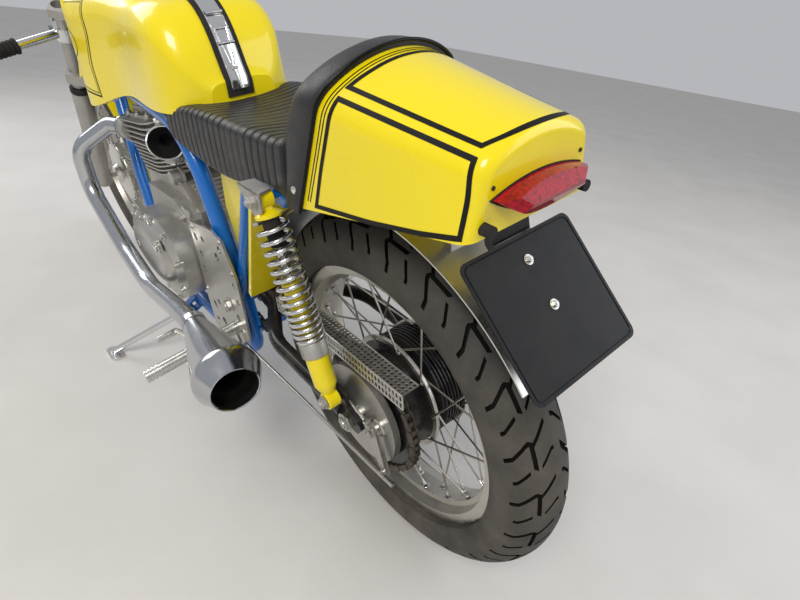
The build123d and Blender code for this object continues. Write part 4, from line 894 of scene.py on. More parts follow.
class RACER_OT_tyres(bpy.types.Operator):
    """Tyres with moulded tread: forked grooves at the back, ribs at the front"""
    bl_idname = "racer.tyres"
    bl_label = "Tyres"

    def execute(self, context):
        for name, body, node_name in (("rear_tyre_tread", "rear_wheel", "rear_tyre"),
                                      ("front_tyre_tread", "front_wheel", "front_tyre")):
            shape = build_tyre(**TREADS[node_name])
            thing = piece(name, shape, ["tyre_rubber", "groove_rubber_painted_shade"], body, 30.0)
            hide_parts(node_name)
        return {"FINISHED"}


# columns: flange side, place round the wheel in spoke steps, lean of the spoke in degrees
LACING = ((0, 0.00, 28.0), (0, 0.50, -28.0), (1, 0.25, 28.0), (1, 0.75, -28.0))


def spoke_ends(axle, flange_ys):
    """Each spoke's start at the hub and end at the rim."""
    for index in range(SPOKE_PAIRS // 2):
        for side, offset, slant in LACING:
            angle = 2 * pi * (index + offset) / (SPOKE_PAIRS // 2)
            inner = angle + radians(slant)
            head_y = flange_ys[side] + (SPOKE_HEAD_Y if slant > 0 else -SPOKE_HEAD_Y)
            start = axle + Vector((cos(inner), 0, sin(inner))) * SPOKE_HOLE_RADIUS
            end = axle + Vector((cos(angle), 0, sin(angle))) * RIM_WELL_RADIUS
            yield Vector((start.x, head_y, start.z)), Vector((end.x, NIPPLE_Y if side == 0 else -NIPPLE_Y, end.z))


class RACER_OT_wheel_fittings(bpy.types.Operator):
    """Spoke nipples on their dimples, spoke heads, hub rings and the drum's fins"""
    bl_idname = "racer.wheel_fittings"
    bl_label = "Wheel fittings"

    def execute(self, context):
        for name, axle, flange_ys, body in (("rear", REAR_AXLE, (12.5, -57.5), "rear_wheel"),
                                            ("front", FRONT_AXLE, (30.0, -30.0), "front_wheel")):
            shape = Shape()
            for start, end in spoke_ends(axle, flange_ys):
                inward = (start - end).normalized()
                radial = (Vector((axle.x, 0, axle.z)) - Vector((end.x, 0, end.z))).normalized()
                shape.lathe(end - radial * 0.5, radial, [(0, 0), (8.5, 0), (7.5, 1.2), (4.6, 3.0), (0, 3.2)], 14)
                shape.lathe(end + inward * 1.5, inward, [(0, 0), (3.0, 0), (3.0, 5), (2.3, 6), (2.1, 14), (0, 14)], 8)
                outside = start.y > flange_ys[0] or flange_ys[1] < start.y < 0
                head = ACROSS if outside else -ACROSS
                shape.lathe(start - head * 2.2, head, [(0, 0), (3.6, 0), (3.0, 2.6), (0, 3.2)], 10)
            piece(name + "_spoke_nipples", shape, ["bolt_steel"], body)
        rings = Shape()
        rings.lathe(REAR_AXLE, (0, 1, 0), [(82, 9.4), (104.4, 9.4), (105.4, 10.4), (105.4, 14.6), (104.4, 15.6),
                                           (82, 15.6)], 96)
        rings.lathe(REAR_AXLE, (0, 1, 0), [(90, -60.6), (100.2, -60.6), (100.2, -54.4), (90, -54.4)], 96)
        rings.lathe(REAR_AXLE, (0, 1, 0), [(30, -81), (33, -80), (36, -66.5), (71, -64.6), (71, -66), (38, -68),
                                           (35, -82)], 64)
        thing = piece("rear_hub_rings", rings, ["rim_alloy"], "rear_wheel")
        drill(thing, [(REAR_AXLE + Vector((88.5 * cos(a), 12, 88.5 * sin(a))), (0, 1, 0), 3.2, 9)
                      for a in turns(10, 0.5)])
        fins = Shape()
        for y in (-50, -43.5, -37, -30.5, -24, -17.5):
            fins.lathe(REAR_AXLE, (0, 1, 0), [(88, y - 1.3), (96.5, y - 0.8), (96.5, y + 0.8), (88, y + 1.3)], 80)
        piece("rear_drum_fins", fins, ["black_enamel"], "rear_wheel")
        return {"FINISHED"}


# The seat's outline. columns: X, ridge Z, foot Z of the skirt
SEAT_SECTIONS = ((489, 722, 690), (484, 727, 684), (465, 731, 677), (440, 737, 673), (405, 745, 671), (344, 751, 667),
                 (273, 755, 667), (209, 757, 676), (165, 760, 692), (132, 762, 698), (97, 765, 697), (72, 770, 692))


def between(table, x, column):
    """A smooth value between rows of a table whose first column is X."""
    rows = sorted(table)
    x = min(max(x, rows[0][0]), rows[-1][0])
    i = max(k for k in range(len(rows) - 1) if rows[k][0] <= x)
    a, b = rows[i], rows[i + 1]
    before, after = rows[max(0, i - 1)], rows[min(len(rows) - 1, i + 2)]
    t = (x - a[0]) / (b[0] - a[0])
    ma = (b[column] - before[column]) / (b[0] - before[0]) * (b[0] - a[0])
    mb = (after[column] - a[column]) / (after[0] - a[0]) * (b[0] - a[0])
    return ((2 * t ** 3 - 3 * t ** 2 + 1) * a[column] + (t ** 3 - 2 * t ** 2 + t) * ma
            + (-2 * t ** 3 + 3 * t ** 2) * b[column] + (t ** 3 - t ** 2) * mb)


def seat_outline(x):
    """Half of the cushion's section at a place along it, as (Y, Z) and how much a pleat lifts each point."""
    ridge, foot = between(SEAT_SECTIONS, x, 1), between(SEAT_SECTIONS, x, 2)
    half, shoulder = SEAT_HALF_WIDTH, SEAT_SHOULDER
    points = [(half - 4.5, foot + 4, 0.0), (half - 3.5, foot, 0.0), (half - 1.0, foot - 1.2, 0.15),
              (half + 0.2, foot + 1.5, 0.35)]
    low, high = foot + 5, ridge - shoulder
    for k in range(8):
        t = k / 7
        points.append((half + 0.5 * sin(pi * t) - 2.2 * t * t, low + (high - low) * t, 0.8))
    for k in range(1, 7):
        angle = pi / 2 * k / 6
        points.append((half - 2.2 - shoulder + shoulder * cos(angle), high + shoulder * sin(angle), 0.9))
    flat = half - 2.2 - shoulder
    for k in range(1, 13):
        t = k / 12
        points.append((flat * (1 - t), ridge - 8.5 * sin(pi / 2 * min(1.0, t * 1.15)) ** 1.3, 1.0))
    return points


class RACER_OT_seat_cushion(bpy.types.Operator):
    """The pleated seat, whose seams run across it and down its skirts"""
    bl_idname = "racer.seat_cushion"
    bl_label = "Seat cushion"

    def execute(self, context):
        pitch, rise = sizes().pleat_pitch / MM, sizes().pleat_rise / MM
        front, back = 487.0, 74.0
        rings_in_pleat = 10
        seam_depth, seam_share = 1.2, 0.04
        count = int((front - back) / pitch) * rings_in_pleat
        shape = Shape()
        rings = []
        for i in range(count + 1):
            x = front - (front - back) * i / count
            phase = (x - back) / pitch % 1.0
            puff = (1.0 - abs(2 * phase - 1.0) ** 4.0) if phase > 0.0 else 0.0
            seam = -seam_depth if min(phase, 1 - phase) < seam_share else 0.0
            section = seat_outline(x)
            outer = []
            for j, (y, z, lift) in enumerate(section):
                before, after = section[max(0, j - 1)], section[min(len(section) - 1, j + 1)]
                tangent = Vector((0, after[0] - before[0], after[1] - before[1])).normalized()
                normal = Vector((0, tangent.z, -tangent.y))
                outer.append(Vector((x, y, z)) + normal * (puff * rise + seam) * lift)
            middle = outer.pop()
            middle.y = 0
            right = [Vector((p.x, -p.y, p.z)) for p in reversed(outer)]
            inner_z = min(SEAT_BASE_Z - 4, middle.z - 14)
            inside = [Vector((x, y, inner_z)) for y in (-108, -60, 0, 60, 108)]
            rings.append(outer + [middle] + right + inside)
        shape.skin(rings)
        thing = piece("seat_cushion", shape, ["seat_vinyl"], "root", 60.0)
        return {"FINISHED"}


# The roll's arch, across the machine and up its lean
ARCH_HALF_LOW, ARCH_HALF_HIGH, ARCH_HEIGHT = 118.0, 107.0, 206.0
ARCH_CORNER, ARCH_CROWN = 47.0, 48.0


def arch_outline(inset):
    """The roll's arch as (across, up) points, drawn in by an inset."""
    half_low, half_high, height = ARCH_HALF_LOW - inset, ARCH_HALF_HIGH - inset, ARCH_HEIGHT - inset
    corner = max(4.0, ARCH_CORNER - inset)
    crown = max(6.0, ARCH_CROWN * (1 - inset / 160.0))
    top_radius = (half_high ** 2 + crown ** 2) / (2 * crown)
    top_centre = height - top_radius
    reach = half_high - corner
    corner_z = top_centre + sqrt((top_radius - corner) ** 2 - reach ** 2)
    top_angle = atan2(corner_z - top_centre, reach)
    away = Vector((half_low - reach, -corner_z))
    side_angle = atan2(away.y, away.x) + acos(min(1.0, corner / away.length))
    right = []
    foot = Vector((half_low, 0.0))
    shoulder = Vector((reach + corner * cos(side_angle), corner_z + corner * sin(side_angle)))
    for k in range(10):
        right.append(foot.lerp(shoulder, k / 10))
    for k in range(12):
        angle = side_angle + (top_angle - side_angle) * k / 12
        right.append(Vector((reach + corner * cos(angle), corner_z + corner * sin(angle))))
    for k in range(13):
        angle = top_angle + (pi / 2 - top_angle) * k / 12
        right.append(Vector((top_radius * cos(angle), top_centre + top_radius * sin(angle))))
    right[-1].x = 0.0
    return right + [Vector((-p.x, p.y)) for p in reversed(right[:-1])]


def seam_x(z):
    """Where the seat meets the tail at a height."""
    return SEAM_FOOT_X - (z - SEAT_BASE_Z) * tan(SEAT_BACK_LEAN)


# columns: height, X of the roll's front there
ROLL_FRONT = ((680, 87), (730, 81), (773, 76), (850, 36), (907, 2))
# columns: inset of the arch, share of the way from the seam to the roll's front
ROLL_RINGS = ((8, -0.01), (4, 0.0), (1.2, 0.03), (0, 0.08), (-1.2, 0.2), (-1.8, 0.4), (-1.2, 0.6), (0.3, 0.76),
              (3, 0.88), (7.5, 0.965), (13, 1.0), (22, 1.0), (34, 0.97), (46, 0.93))


class RACER_OT_seat_roll(bpy.types.Operator):
    """The padded roll between the seat and the tail, with its welt"""
    bl_idname = "racer.seat_roll"
    bl_label = "Seat roll"

    def execute(self, context):
        up = Vector((-sin(SEAT_BACK_LEAN), 0, cos(SEAT_BACK_LEAN)))

        def ring(inset, fraction):
            points = []
            for across, rise in arch_outline(max(0.0, inset)):
                spot = Vector((0, across, 685.0)) + up * rise
                grow = min(0.0, inset)
                z = spot.z - grow * 0.3 * rise / ARCH_HEIGHT
                y = across * (1 - grow / ARCH_HALF_LOW)
                front = between(ROLL_FRONT, z, 1)
                points.append(Vector((seam_x(z) + (front - seam_x(z)) * fraction, y, z)))
            return points

        shape = Shape()
        shape.skin([ring(inset, fraction) for inset, fraction in ROLL_RINGS])
        thing = piece("seat_roll", shape, ["seat_vinyl"], "root", 60.0)
        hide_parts("seat_pad")
        welt = Shape()
        path = [p + Vector((1.0, 0, 0)) for p in ring(0.2, 0.0)]
        welt.tube(path, 2.2, 10)
        piece("seat_welt", welt, ["black_plastic"], "root")
        studs = Shape()
        for side in SIDES:
            studs.lathe((50, side * 116.5, 714), (0, side, 0), [(0, 0), (5.5, 0), (5.0, 2.0), (2.6, 3.6), (0, 4.0)], 20)
        piece("seat_studs", studs, ["chrome"], "root")
        return {"FINISHED"}


# Corners of the lined panels: the left side of the tail, its top, and the left side of the tank. columns: X, Y, Z
TAIL_SIDE_PANEL = ((-33, 91, 836), (-215, 75, 814), (-219, 86, 780), (-217, 93, 742), (-167, 98, 730), (-90, 104, 716),
                   (9, 111, 704), (-5, 107, 752))
TAIL_TOP_PANEL = ((-36, 79, 847), (-212, 63, 822), (-221, 45, 828), (-225, 20, 832), (-225, -20, 832),
                  (-221, -45, 828), (-212, -63, 822), (-36, -79, 847), (-43, -50, 859), (-47, 0, 868), (-43, 50, 859))
TANK_PANEL = ((786, 117, 878), (781, 132, 822), (802, 140, 760), (799, 142, 697), (870, 150, 700), (960, 142, 712),
              (1010, 130, 730), (1012, 124, 790), (985, 118, 830), (880, 122, 872))
THIN_LINE = 1.7


class RACER_OT_stripes(bpy.types.Operator):
    """The black lines on the tail and tank"""
    bl_idname = "racer.stripes"
    bl_label = "Stripes"

    def execute(self, context):
        bold = sizes().stripe_width / MM
        surface = surface_of("seat_tail")
        shape = Shape()
        for side in SIDES:
            outline = [(x, side * y, z) for x, y, z in TAIL_SIDE_PANEL]
            ribbon(shape, surface, along_lines(outline, 5.0, True), bold, 0.45, True)
        ribbon(shape, surface, along_lines(TAIL_TOP_PANEL, 5.0, True), bold, 0.45, True)
        for behind in (8.0, 13.0):
            points = []
            for across, rise in arch_outline(11.0):
                z = 692 + rise * cos(SEAT_BACK_LEAN)
                points.append(Vector((seam_x(z) - behind, across, z)))
            ribbon(shape, surface, points, THIN_LINE, 0.35)
        piece("tail_stripes", shape, ["stripe_paint"], "root")
        surface = surface_of("fuel_tank")
        shape = Shape()
        for side in SIDES:
            outline = [Vector((x, side * y, z)) for x, y, z in TANK_PANEL]
            middle = sum(outline, Vector()) / len(outline)
            ribbon(shape, surface, along_lines(outline, 7.0, True), bold * 0.62, 0.35, True)
            inner = [p + (middle - p).normalized() * 9.0 for p in outline]
            ribbon(shape, surface, along_lines(inner, 7.0, True), THIN_LINE, 0.35, True)
            oval = [Vector((900 + 52 * cos(a), side * 160, 795 + 30 * sin(a))) for a in turns(48)]
            ribbon(shape, surface, oval, 2.4, 0.35, True)
        piece("tank_stripes", shape, ["stripe_paint"], "root")
        return {"FINISHED"}


class RACER_OT_tank_strap(bpy.types.Operator):
    """The steel strap over the tank, on its rubber, with an over-centre latch"""
    bl_idname = "racer.tank_strap"
    bl_label = "Tank strap"

    def execute(self, context):
        surface = surface_of("fuel_tank")
        offset = Vector((0, 6, 0))
        line = []
        for x in range(1020, 470, -12):
            hit = surface.ray_cast(Vector((x, 0, 1100)) + offset, -UPWARD)[0]
            if hit:
                line.append(hit)
        # down the tank's rear face, looking in from an arc behind it
        turn_at, away, foot_z = Vector((560, 0, 740)), 400, 741
        for angle in range(8, 92, 4):
            outward = Vector((-sin(radians(angle)), 0, cos(radians(angle))))
            hit = surface.ray_cast(turn_at + outward * away + offset, -outward)[0]
            if hit and foot_z < hit.z < line[-1].z - 3:
                line.append(hit)

        def band(half, low, high, finish_index, path):
            rings = []
            for i, p in enumerate(path):
                along = (path[min(i + 1, len(path) - 1)] - path[max(i - 1, 0)]).normalized()
                out = Vector((along.z, 0, -along.x))
                if out.z < 0 and abs(out.z) > 0.3 or out.x > 0.9:
                    out = -out
                section = ((half, low), (half, high), (half - 0.8, high + 0.4), (0.8 - half, high + 0.4), (-half, high),
                           (-half, low))
                rings.append([p + ACROSS * across + out * rise for across, rise in section])
            shape.skin(rings, finish_index=finish_index)
            return rings

        shape = Shape()
        band(24, -1.0, 2.4, 1, line)
        rings = band(13.5, 2.2, 3.8, 0, line[:-1])
        for corner, outwards in ((1, ACROSS), (4, -ACROSS)):
            shape.tube([ring[corner] + outwards for ring in rings], 1.3, 8)
        latch = [p for p in line if p.x < 452 and p.z > 770]
        top, low = latch[0], latch[-1]
        along = (low - top).normalized()
        out = Vector((-along.z, 0, along.x)) * -1
        if out.x > 0:
            out = -out
        # columns: start down the latch, length, half width, lift, thickness
        for start, length, half, lift, thick in ((0, 34, 15, 4, 2.5), (30, 26, 11, 8, 4.0), (52, 22, 8, 5, 2.5)):
            base = top + along * start + out * lift
            leaf = [(0, -half), (length, -half), (length, half), (0, half)]
            shape.prism(leaf, base, along, ACROSS, thick, 0, 0.8)
        for reach in (4, 30, 54):
            centre = top + along * reach + out * 8
            shape.tube([centre - ACROSS * 15, centre + ACROSS * 15], 3.2, 10)
        for y in (-11, 11):
            # columns: reach down the latch, lift, share of the width
            shape.tube([top + along * reach + out * lift + ACROSS * y * share
                        for reach, lift, share in ((30, 9, 1.0), (62, 7, 0.7), (86, 5, 0.5))], 2.2, 8)
        shape.tube([low + out * 5 - along * 18, low + out * 5 + along * 6, low + out * 4 + along * 26], 3.4, 10)
        shape.bolt(low + out * 5 - along * 12, along, 6.0, 7.0)
        piece("tank_strap", shape, ["chrome", "rubber"], "root")
        return {"FINISHED"}


class RACER_OT_shocks(bpy.types.Operator):
    """Shock absorbers with wound springs, and the plates that carry them"""
    bl_idname = "racer.shocks"
    bl_label = "Shock absorbers"

    def execute(self, context):
        up = (SHOCK_TOP - SHOCK_LOW).normalized()
        length = (SHOCK_TOP - SHOCK_LOW).length
        bodies, coils, plates = Shape(), Shape(), Shape()
        wire = sizes().coil_wire / MM
        coil_turns = sizes().coil_turns
        low, high = 108.0, length - 27.0
        for side in SIDES:
            base = SHOCK_LOW + Vector((0, side * SHOCK_Y, 0))
            bodies.lathe(base, up, [(0, 13), (10, 13), (14.5, 21), (18, 29), (18.4, 32), (18.4, 82), (0, 82)], 36, 0)
            bodies.lathe(base, up, [(0, 82), (20.6, 82), (21.4, 83), (21.4, 107), (20.8, 108), (17, 108), (17, 106),
                                    (0, 106)], 36, 1)
            bodies.lathe(base, up, [(0, 106), (15.6, 106), (15.6, 202), (13.5, 205), (0, 205)], 28, 0)
            bodies.lathe(base, up, round_bar(6.4, 205, length - 26), 16, 2)
            bodies.lathe(base, up, [(6, length - 70), (11.5, length - 70), (13, length - 45), (13, length - 28),
                                    (6, length - 28)], 20, 3)
            cap = [(0, -27), (19.4, -27), (20, -25.5), (20, -22), (18.5, -21), (10.8, -16), (10.8, -12), (0, -12)]
            bodies.lathe(base + up * length, up, cap, 36, 0)
            for height in (0, length):
                eye = base + up * height
                ring = [(10, -11), (13.5, -11), (15, -9.5), (15, 9.5), (13.5, 11), (10, 11)]
                bodies.lathe(eye, (0, 1, 0), ring, 28, 0)
                bodies.lathe(eye, (0, 1, 0), [(6.2, -11.6), (10, -11.6), (10, 11.6), (6.2, 11.6)], 24, 3)
            nut = base + up * length + Vector((0, side * 15.5, 0))
            outer = [(-20, 16), (40, 16), (40, 8), (24, -8), (10, -22), (0, -25), (-10, -22), (-20, -8)]
            origin = SHOCK_TOP + Vector((0, side * (SHOCK_Y + 12.2), 0))
            plates.prism(outer, origin, (1, 0, 0), (0, 0, 1), -3.0 * side)
            ledge = [(x, -side * y) for x, y in ((-18, 0), (40, 0), (34, 24), (-12, 24))]
            plates.prism(ledge, origin + Vector((0, side * 3, 13)), (1, 0, 0), (0, 1, 0), 3.0)
            plates.bolt(nut, (0, side, 0), 9.5, 9.0)
            plates.bolt(base + Vector((0, side * 12, 0)), (0, side, 0), 9.0, 8.0)
            path, radii = [], []
            steps = coil_turns * 22
            span = high - low - 2 * wire
            u, v = ACROSS, up.cross(ACROSS)
            for k in range(steps + 1):
                t = k / steps
                rise = low + wire + span * (0.72 * t + 0.28 * t * t)
                angle = 2 * pi * coil_turns * t * side
                path.append(base + up * rise + (u * cos(angle) + v * sin(angle)) * COIL_RADIUS)
                radii.append(wire * (0.7 if k in (0, steps) else 1.0))
            coils.tube(path, radii, 12)
        finishes = ["yellow_paint", "cast_alloy", "coil_chrome", "rubber"]
        thing = piece("shock_units", bodies, finishes, "root")
        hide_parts("shock_bodies")
        thing = piece("shock_coils", coils, ["coil_chrome"], "root")
        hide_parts("shock_springs")
        piece("shock_plates", plates, ["cast_alloy"], "root")
        return {"FINISHED"}


def belt_walk(rear, front, count):
    """Evenly spaced places round two circles of (X, Z, radius), as a belt on them lies."""
    (ax, az, ar), (bx, bz, br) = rear, front
    base = atan2(bz - az, bx - ax)
    spread = acos((ar - br) / hypot(bx - ax, bz - az))
    run = sqrt(hypot(bx - ax, bz - az) ** 2 - (ar - br) ** 2)
    front_arc, rear_arc = br * 2 * spread, ar * (2 * pi - 2 * spread)
    total = 2 * run + front_arc + rear_arc
    places = []
    for k in range(count):
        s = total * k / count
        past_run = 0.0
        if s < run:
            x, z, radius, a, past_run = ax, az, ar, base + spread, s
        elif s < run + front_arc:
            x, z, radius, a = bx, bz, br, base + spread - (s - run) / br
        elif s < 2 * run + front_arc:
            x, z, radius, a, past_run = bx, bz, br, base - spread, s - run - front_arc
        else:
            x, z, radius, a = ax, az, ar, base - spread - (s - 2 * run - front_arc) / ar
        places.append(Vector((x + radius * cos(a) + past_run * sin(a), 0, z + radius * sin(a) - past_run * cos(a))))
    return places


class RACER_OT_chain(bpy.types.Operator):
    """The drive chain, link by link"""
    bl_idname = "racer.chain"
    bl_label = "Chain"

    def execute(self, context):
        spots = belt_walk(REAR_SPROCKET, GEARBOX_SPROCKET, CHAIN_LINKS)
        plate_end, plate_waist = 5.9, 4.3
        shape = Shape()
        for i, spot in enumerate(spots):
            shape.lathe(spot, (0, 1, 0), round_bar(4.9, CHAIN_Y - 3.4, CHAIN_Y + 3.4), 10)
            shape.lathe(spot, (0, 1, 0), round_bar(2.4, CHAIN_Y - 7.6, CHAIN_Y + 7.6), 8)
            along = spots[(i + 1) % len(spots)] - spot
            outline = []
            for start, shift, waist in ((pi / 2, 0.0, -plate_waist), (-pi / 2, along.length, plate_waist)):
                for a in [start + pi * k / 6 for k in range(7)]:
                    outline.append((shift + plate_end * cos(a), plate_end * sin(a)))
                outline.append((along.length / 2, waist))
            plate_y = 3.6 if i % 2 == 0 else 5.5
            for side in SIDES:
                origin = spot + Vector((0, CHAIN_Y + side * plate_y, 0))
                shape.prism(outline, origin, along, along.normalized().cross(ACROSS), 1.6 * -side)
        thing = piece("chain_links", shape, ["chain_steel"], "root")
        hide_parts("chain")
        return {"FINISHED"}


def perforated(shape, origin, u, v, counts, pitches, hole, slots=False):
    """A sheet of cells, each with a hole or slot through it."""
    origin = Vector(origin)
    normal = u.cross(v) * 1.2
    for i in range(counts[0]):
        for j in range(counts[1]):
            middle = origin + u * pitches[0] * (i + 0.5) + v * pitches[1] * (j + 0.5)
            cell, opening = [], []
            for k in range(8):
                angle = pi / 4 * k
                edge = max(abs(cos(angle)), abs(sin(angle)))
                a, b = cos(angle) / edge, sin(angle) / edge
                cell.append(u * a * pitches[0] / 2 + v * b * pitches[1] / 2)
                stretch = (pitches[1] - pitches[0] + 2 * hole) / (2 * hole) if slots else 1.0
                opening.append(u * cos(angle) * hole + v * sin(angle) * hole * stretch)
            rings = [[middle + p for p in cell], [middle + p for p in opening],
                     [middle + p + normal for p in opening], [middle + p + normal for p in cell]]
            shape.skin(rings, caps=False)


class RACER_OT_chain_guard(bpy.types.Operator):
    """The perforated chain guard with its folded edges and hanger"""
    bl_idname = "racer.chain_guard"
    bl_label = "Chain guard"

    def execute(self, context):
        shape = Shape()
        back, bend, front, fall, skirt = -114, 94, 236, 16, 28
        inner, outer, top = 60.4, 91, GUARD_TOP_Z
        slope = Vector((front - bend, 0, -fall)).normalized()
        for x, along, count, pitch in ((back, AHEAD, 26, 8.0), (bend, slope, 18, 7.93)):
            perforated(shape, (x, 60.2, top - 0.8), along, ACROSS, (count, 4), (pitch, 7.7), 2.8)
            perforated(shape, (x, outer, top - skirt), along, UPWARD, (count, 2), (pitch, 13.0), 2.7, True)
        for y, drop in ((outer, 0), (inner, 0), (90.5, skirt)):
            shape.tube([(back, y, top - drop), (bend, y, top - drop), (front, y, top - drop - fall)], 1.3, 8)
        for x, z in ((back, top), (front, top - fall)):
            shape.tube([(x, inner, z), (x, outer, z)], 1.3, 8)
            shape.tube([(x, 90.5, z), (x, 90.5, z - skirt)], 1.3, 8)
        shape.prism([(72, top - 26), (92, top - 26), (112, 352), (94, 352)], (0, outer, 0), (1, 0, 0), (0, 0, 1), 2.0)
        shape.bolt((103, 91, 360), (0, 1, 0), 6.0, 5.0)
        thing = piece("perforated_guard", shape, ["sheet_alloy"], "root")
        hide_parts("chain_guard")
        return {"FINISHED"}


class RACER_OT_exhausts(bpy.types.Operator):
    """Swept pipes with finned collars, megaphones and their sooted mouths"""
    bl_idname = "racer.exhausts"
    bl_label = "Exhausts"

    def execute(self, context):
        pipes, soot_and_painted_shade = Shape(), Shape()
        # columns: radius, distance back from the pipe's end
        megaphone = [(19.5, -8), (21.4, -8), (21.6, 2), (57, 157.5), (58.4, 160.5), (58.9, 164), (58.9, 171),
                     (58, 174.5), (44, 203.5), (43, 206), (41.4, 206.6), (40, 205.2), (40, 203), (53.5, 172),
                     (34.2, 168.6), (34, 88), (0, 88)]
        sooted = [(0, 89), (33.4, 89), (33.4, 169.4), (52.5, 172.6), (39.2, 203.4), (38.2, 203.4), (50.5, 173.6),
                  (31, 171), (31, 91), (0, 91)]
        fin = [(19, 0), (28.6, 0), (29, 1), (29, 3), (28.6, 4), (24, 4.6), (24, 5.4), (19, 5.4)]
        for side in SIDES:
            port = tilted(119, side * 92, PORT_HEIGHT)
            route = [port, (928, side * 118, port.z + 2), (972, side * 196, 556), (968, side * 203, 448),
                     (800, side * 206, 352), (655, side * 208, 312), (440, side * 212, 362), (342, side * 215, 381)]
            pipes.tube(rounded(route, [26, 60, 76, 180, 160, 200]), 20.0, 32)
            collar = tilted(108.4, side * 92, PORT_HEIGHT)
            forward = (port - collar).normalized()
            for reach in (0, 5.4, 10.8):
                pipes.lathe(collar + forward * reach, forward, fin, 40)
            tail, ring = Vector((342, side * 215, 381)), Vector((172, side * 231, 376))
            along = (ring - tail).normalized()
            pipes.lathe(tail, along, megaphone, 72, closed=False)
            soot_and_painted_shade.lathe(tail, along, sooted, 64)
            pipes.lathe(tail, along, [(20.5, -12), (24, -11), (24, 3), (20.5, 4)], 40)
            pipes.bolt(tail + along * -4 + Vector((0, 0, -29)), (0, side, 0), 5.0, 6.0)
        thing = piece("exhaust_pipes", pipes, ["exhaust_steel"], "root")
        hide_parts("exhausts")
        piece("exhaust_soot", soot_and_painted_shade, ["soot_and_painted_shade"], "root")
        return {"FINISHED"}


class RACER_OT_rear_axle_fittings(bpy.types.Operator):
    """Chain adjusters, and the boss, nut and lever end of the rear brake's cam"""
    bl_idname = "racer.rear_axle_fittings"
    bl_label = "Rear axle fittings"

    def execute(self, context):
        shape = Shape()
        for side in SIDES:
            y = side * 99
            for lift in (0, 10):
                shape.tube([(34, y, 354 - lift), (-20, y, 334 - lift)], 2.9, 10)
                shape.bolt(Vector((-14, y, 336 - lift)), (-54, 0, -20), 5.4, 6.0)
            shape.bolt((0, side * 121, REAR_TYRE_RADIUS), (0, side, 0), 13.0, 5.0)
        cam = Vector((-52, 0, 337))
        boss = [(0, 90), (17, 90), (17, 94), (15.5, 95.5), (13, 96), (13, 102), (11.5, 103.5), (0, 103.5)]
        shape.lathe(cam, (0, 1, 0), boss, 36)
        shape.bolt(cam + Vector((0, 106.5, 0)), (0, 1, 0), 8.5, 8.0)
        lever = [(-11, 8), (10, 9), (13, 0), (9, -10), (-12, -68), (-17, -78), (-25, -82), (-32, -78), (-33, -70),
                 (-28, -62)]
        shape.prism(lever, cam + Vector((0, 107.5, 0)), (1, 0, 0), (0, 0, 1), 4.0)
        shape.tube([cam + Vector((-24, 97, -74)), cam + Vector((-24, 112, -74))], 5.0, 16)
        piece("axle_fittings", shape, ["bolt_steel"], "root")
        return {"FINISHED"}


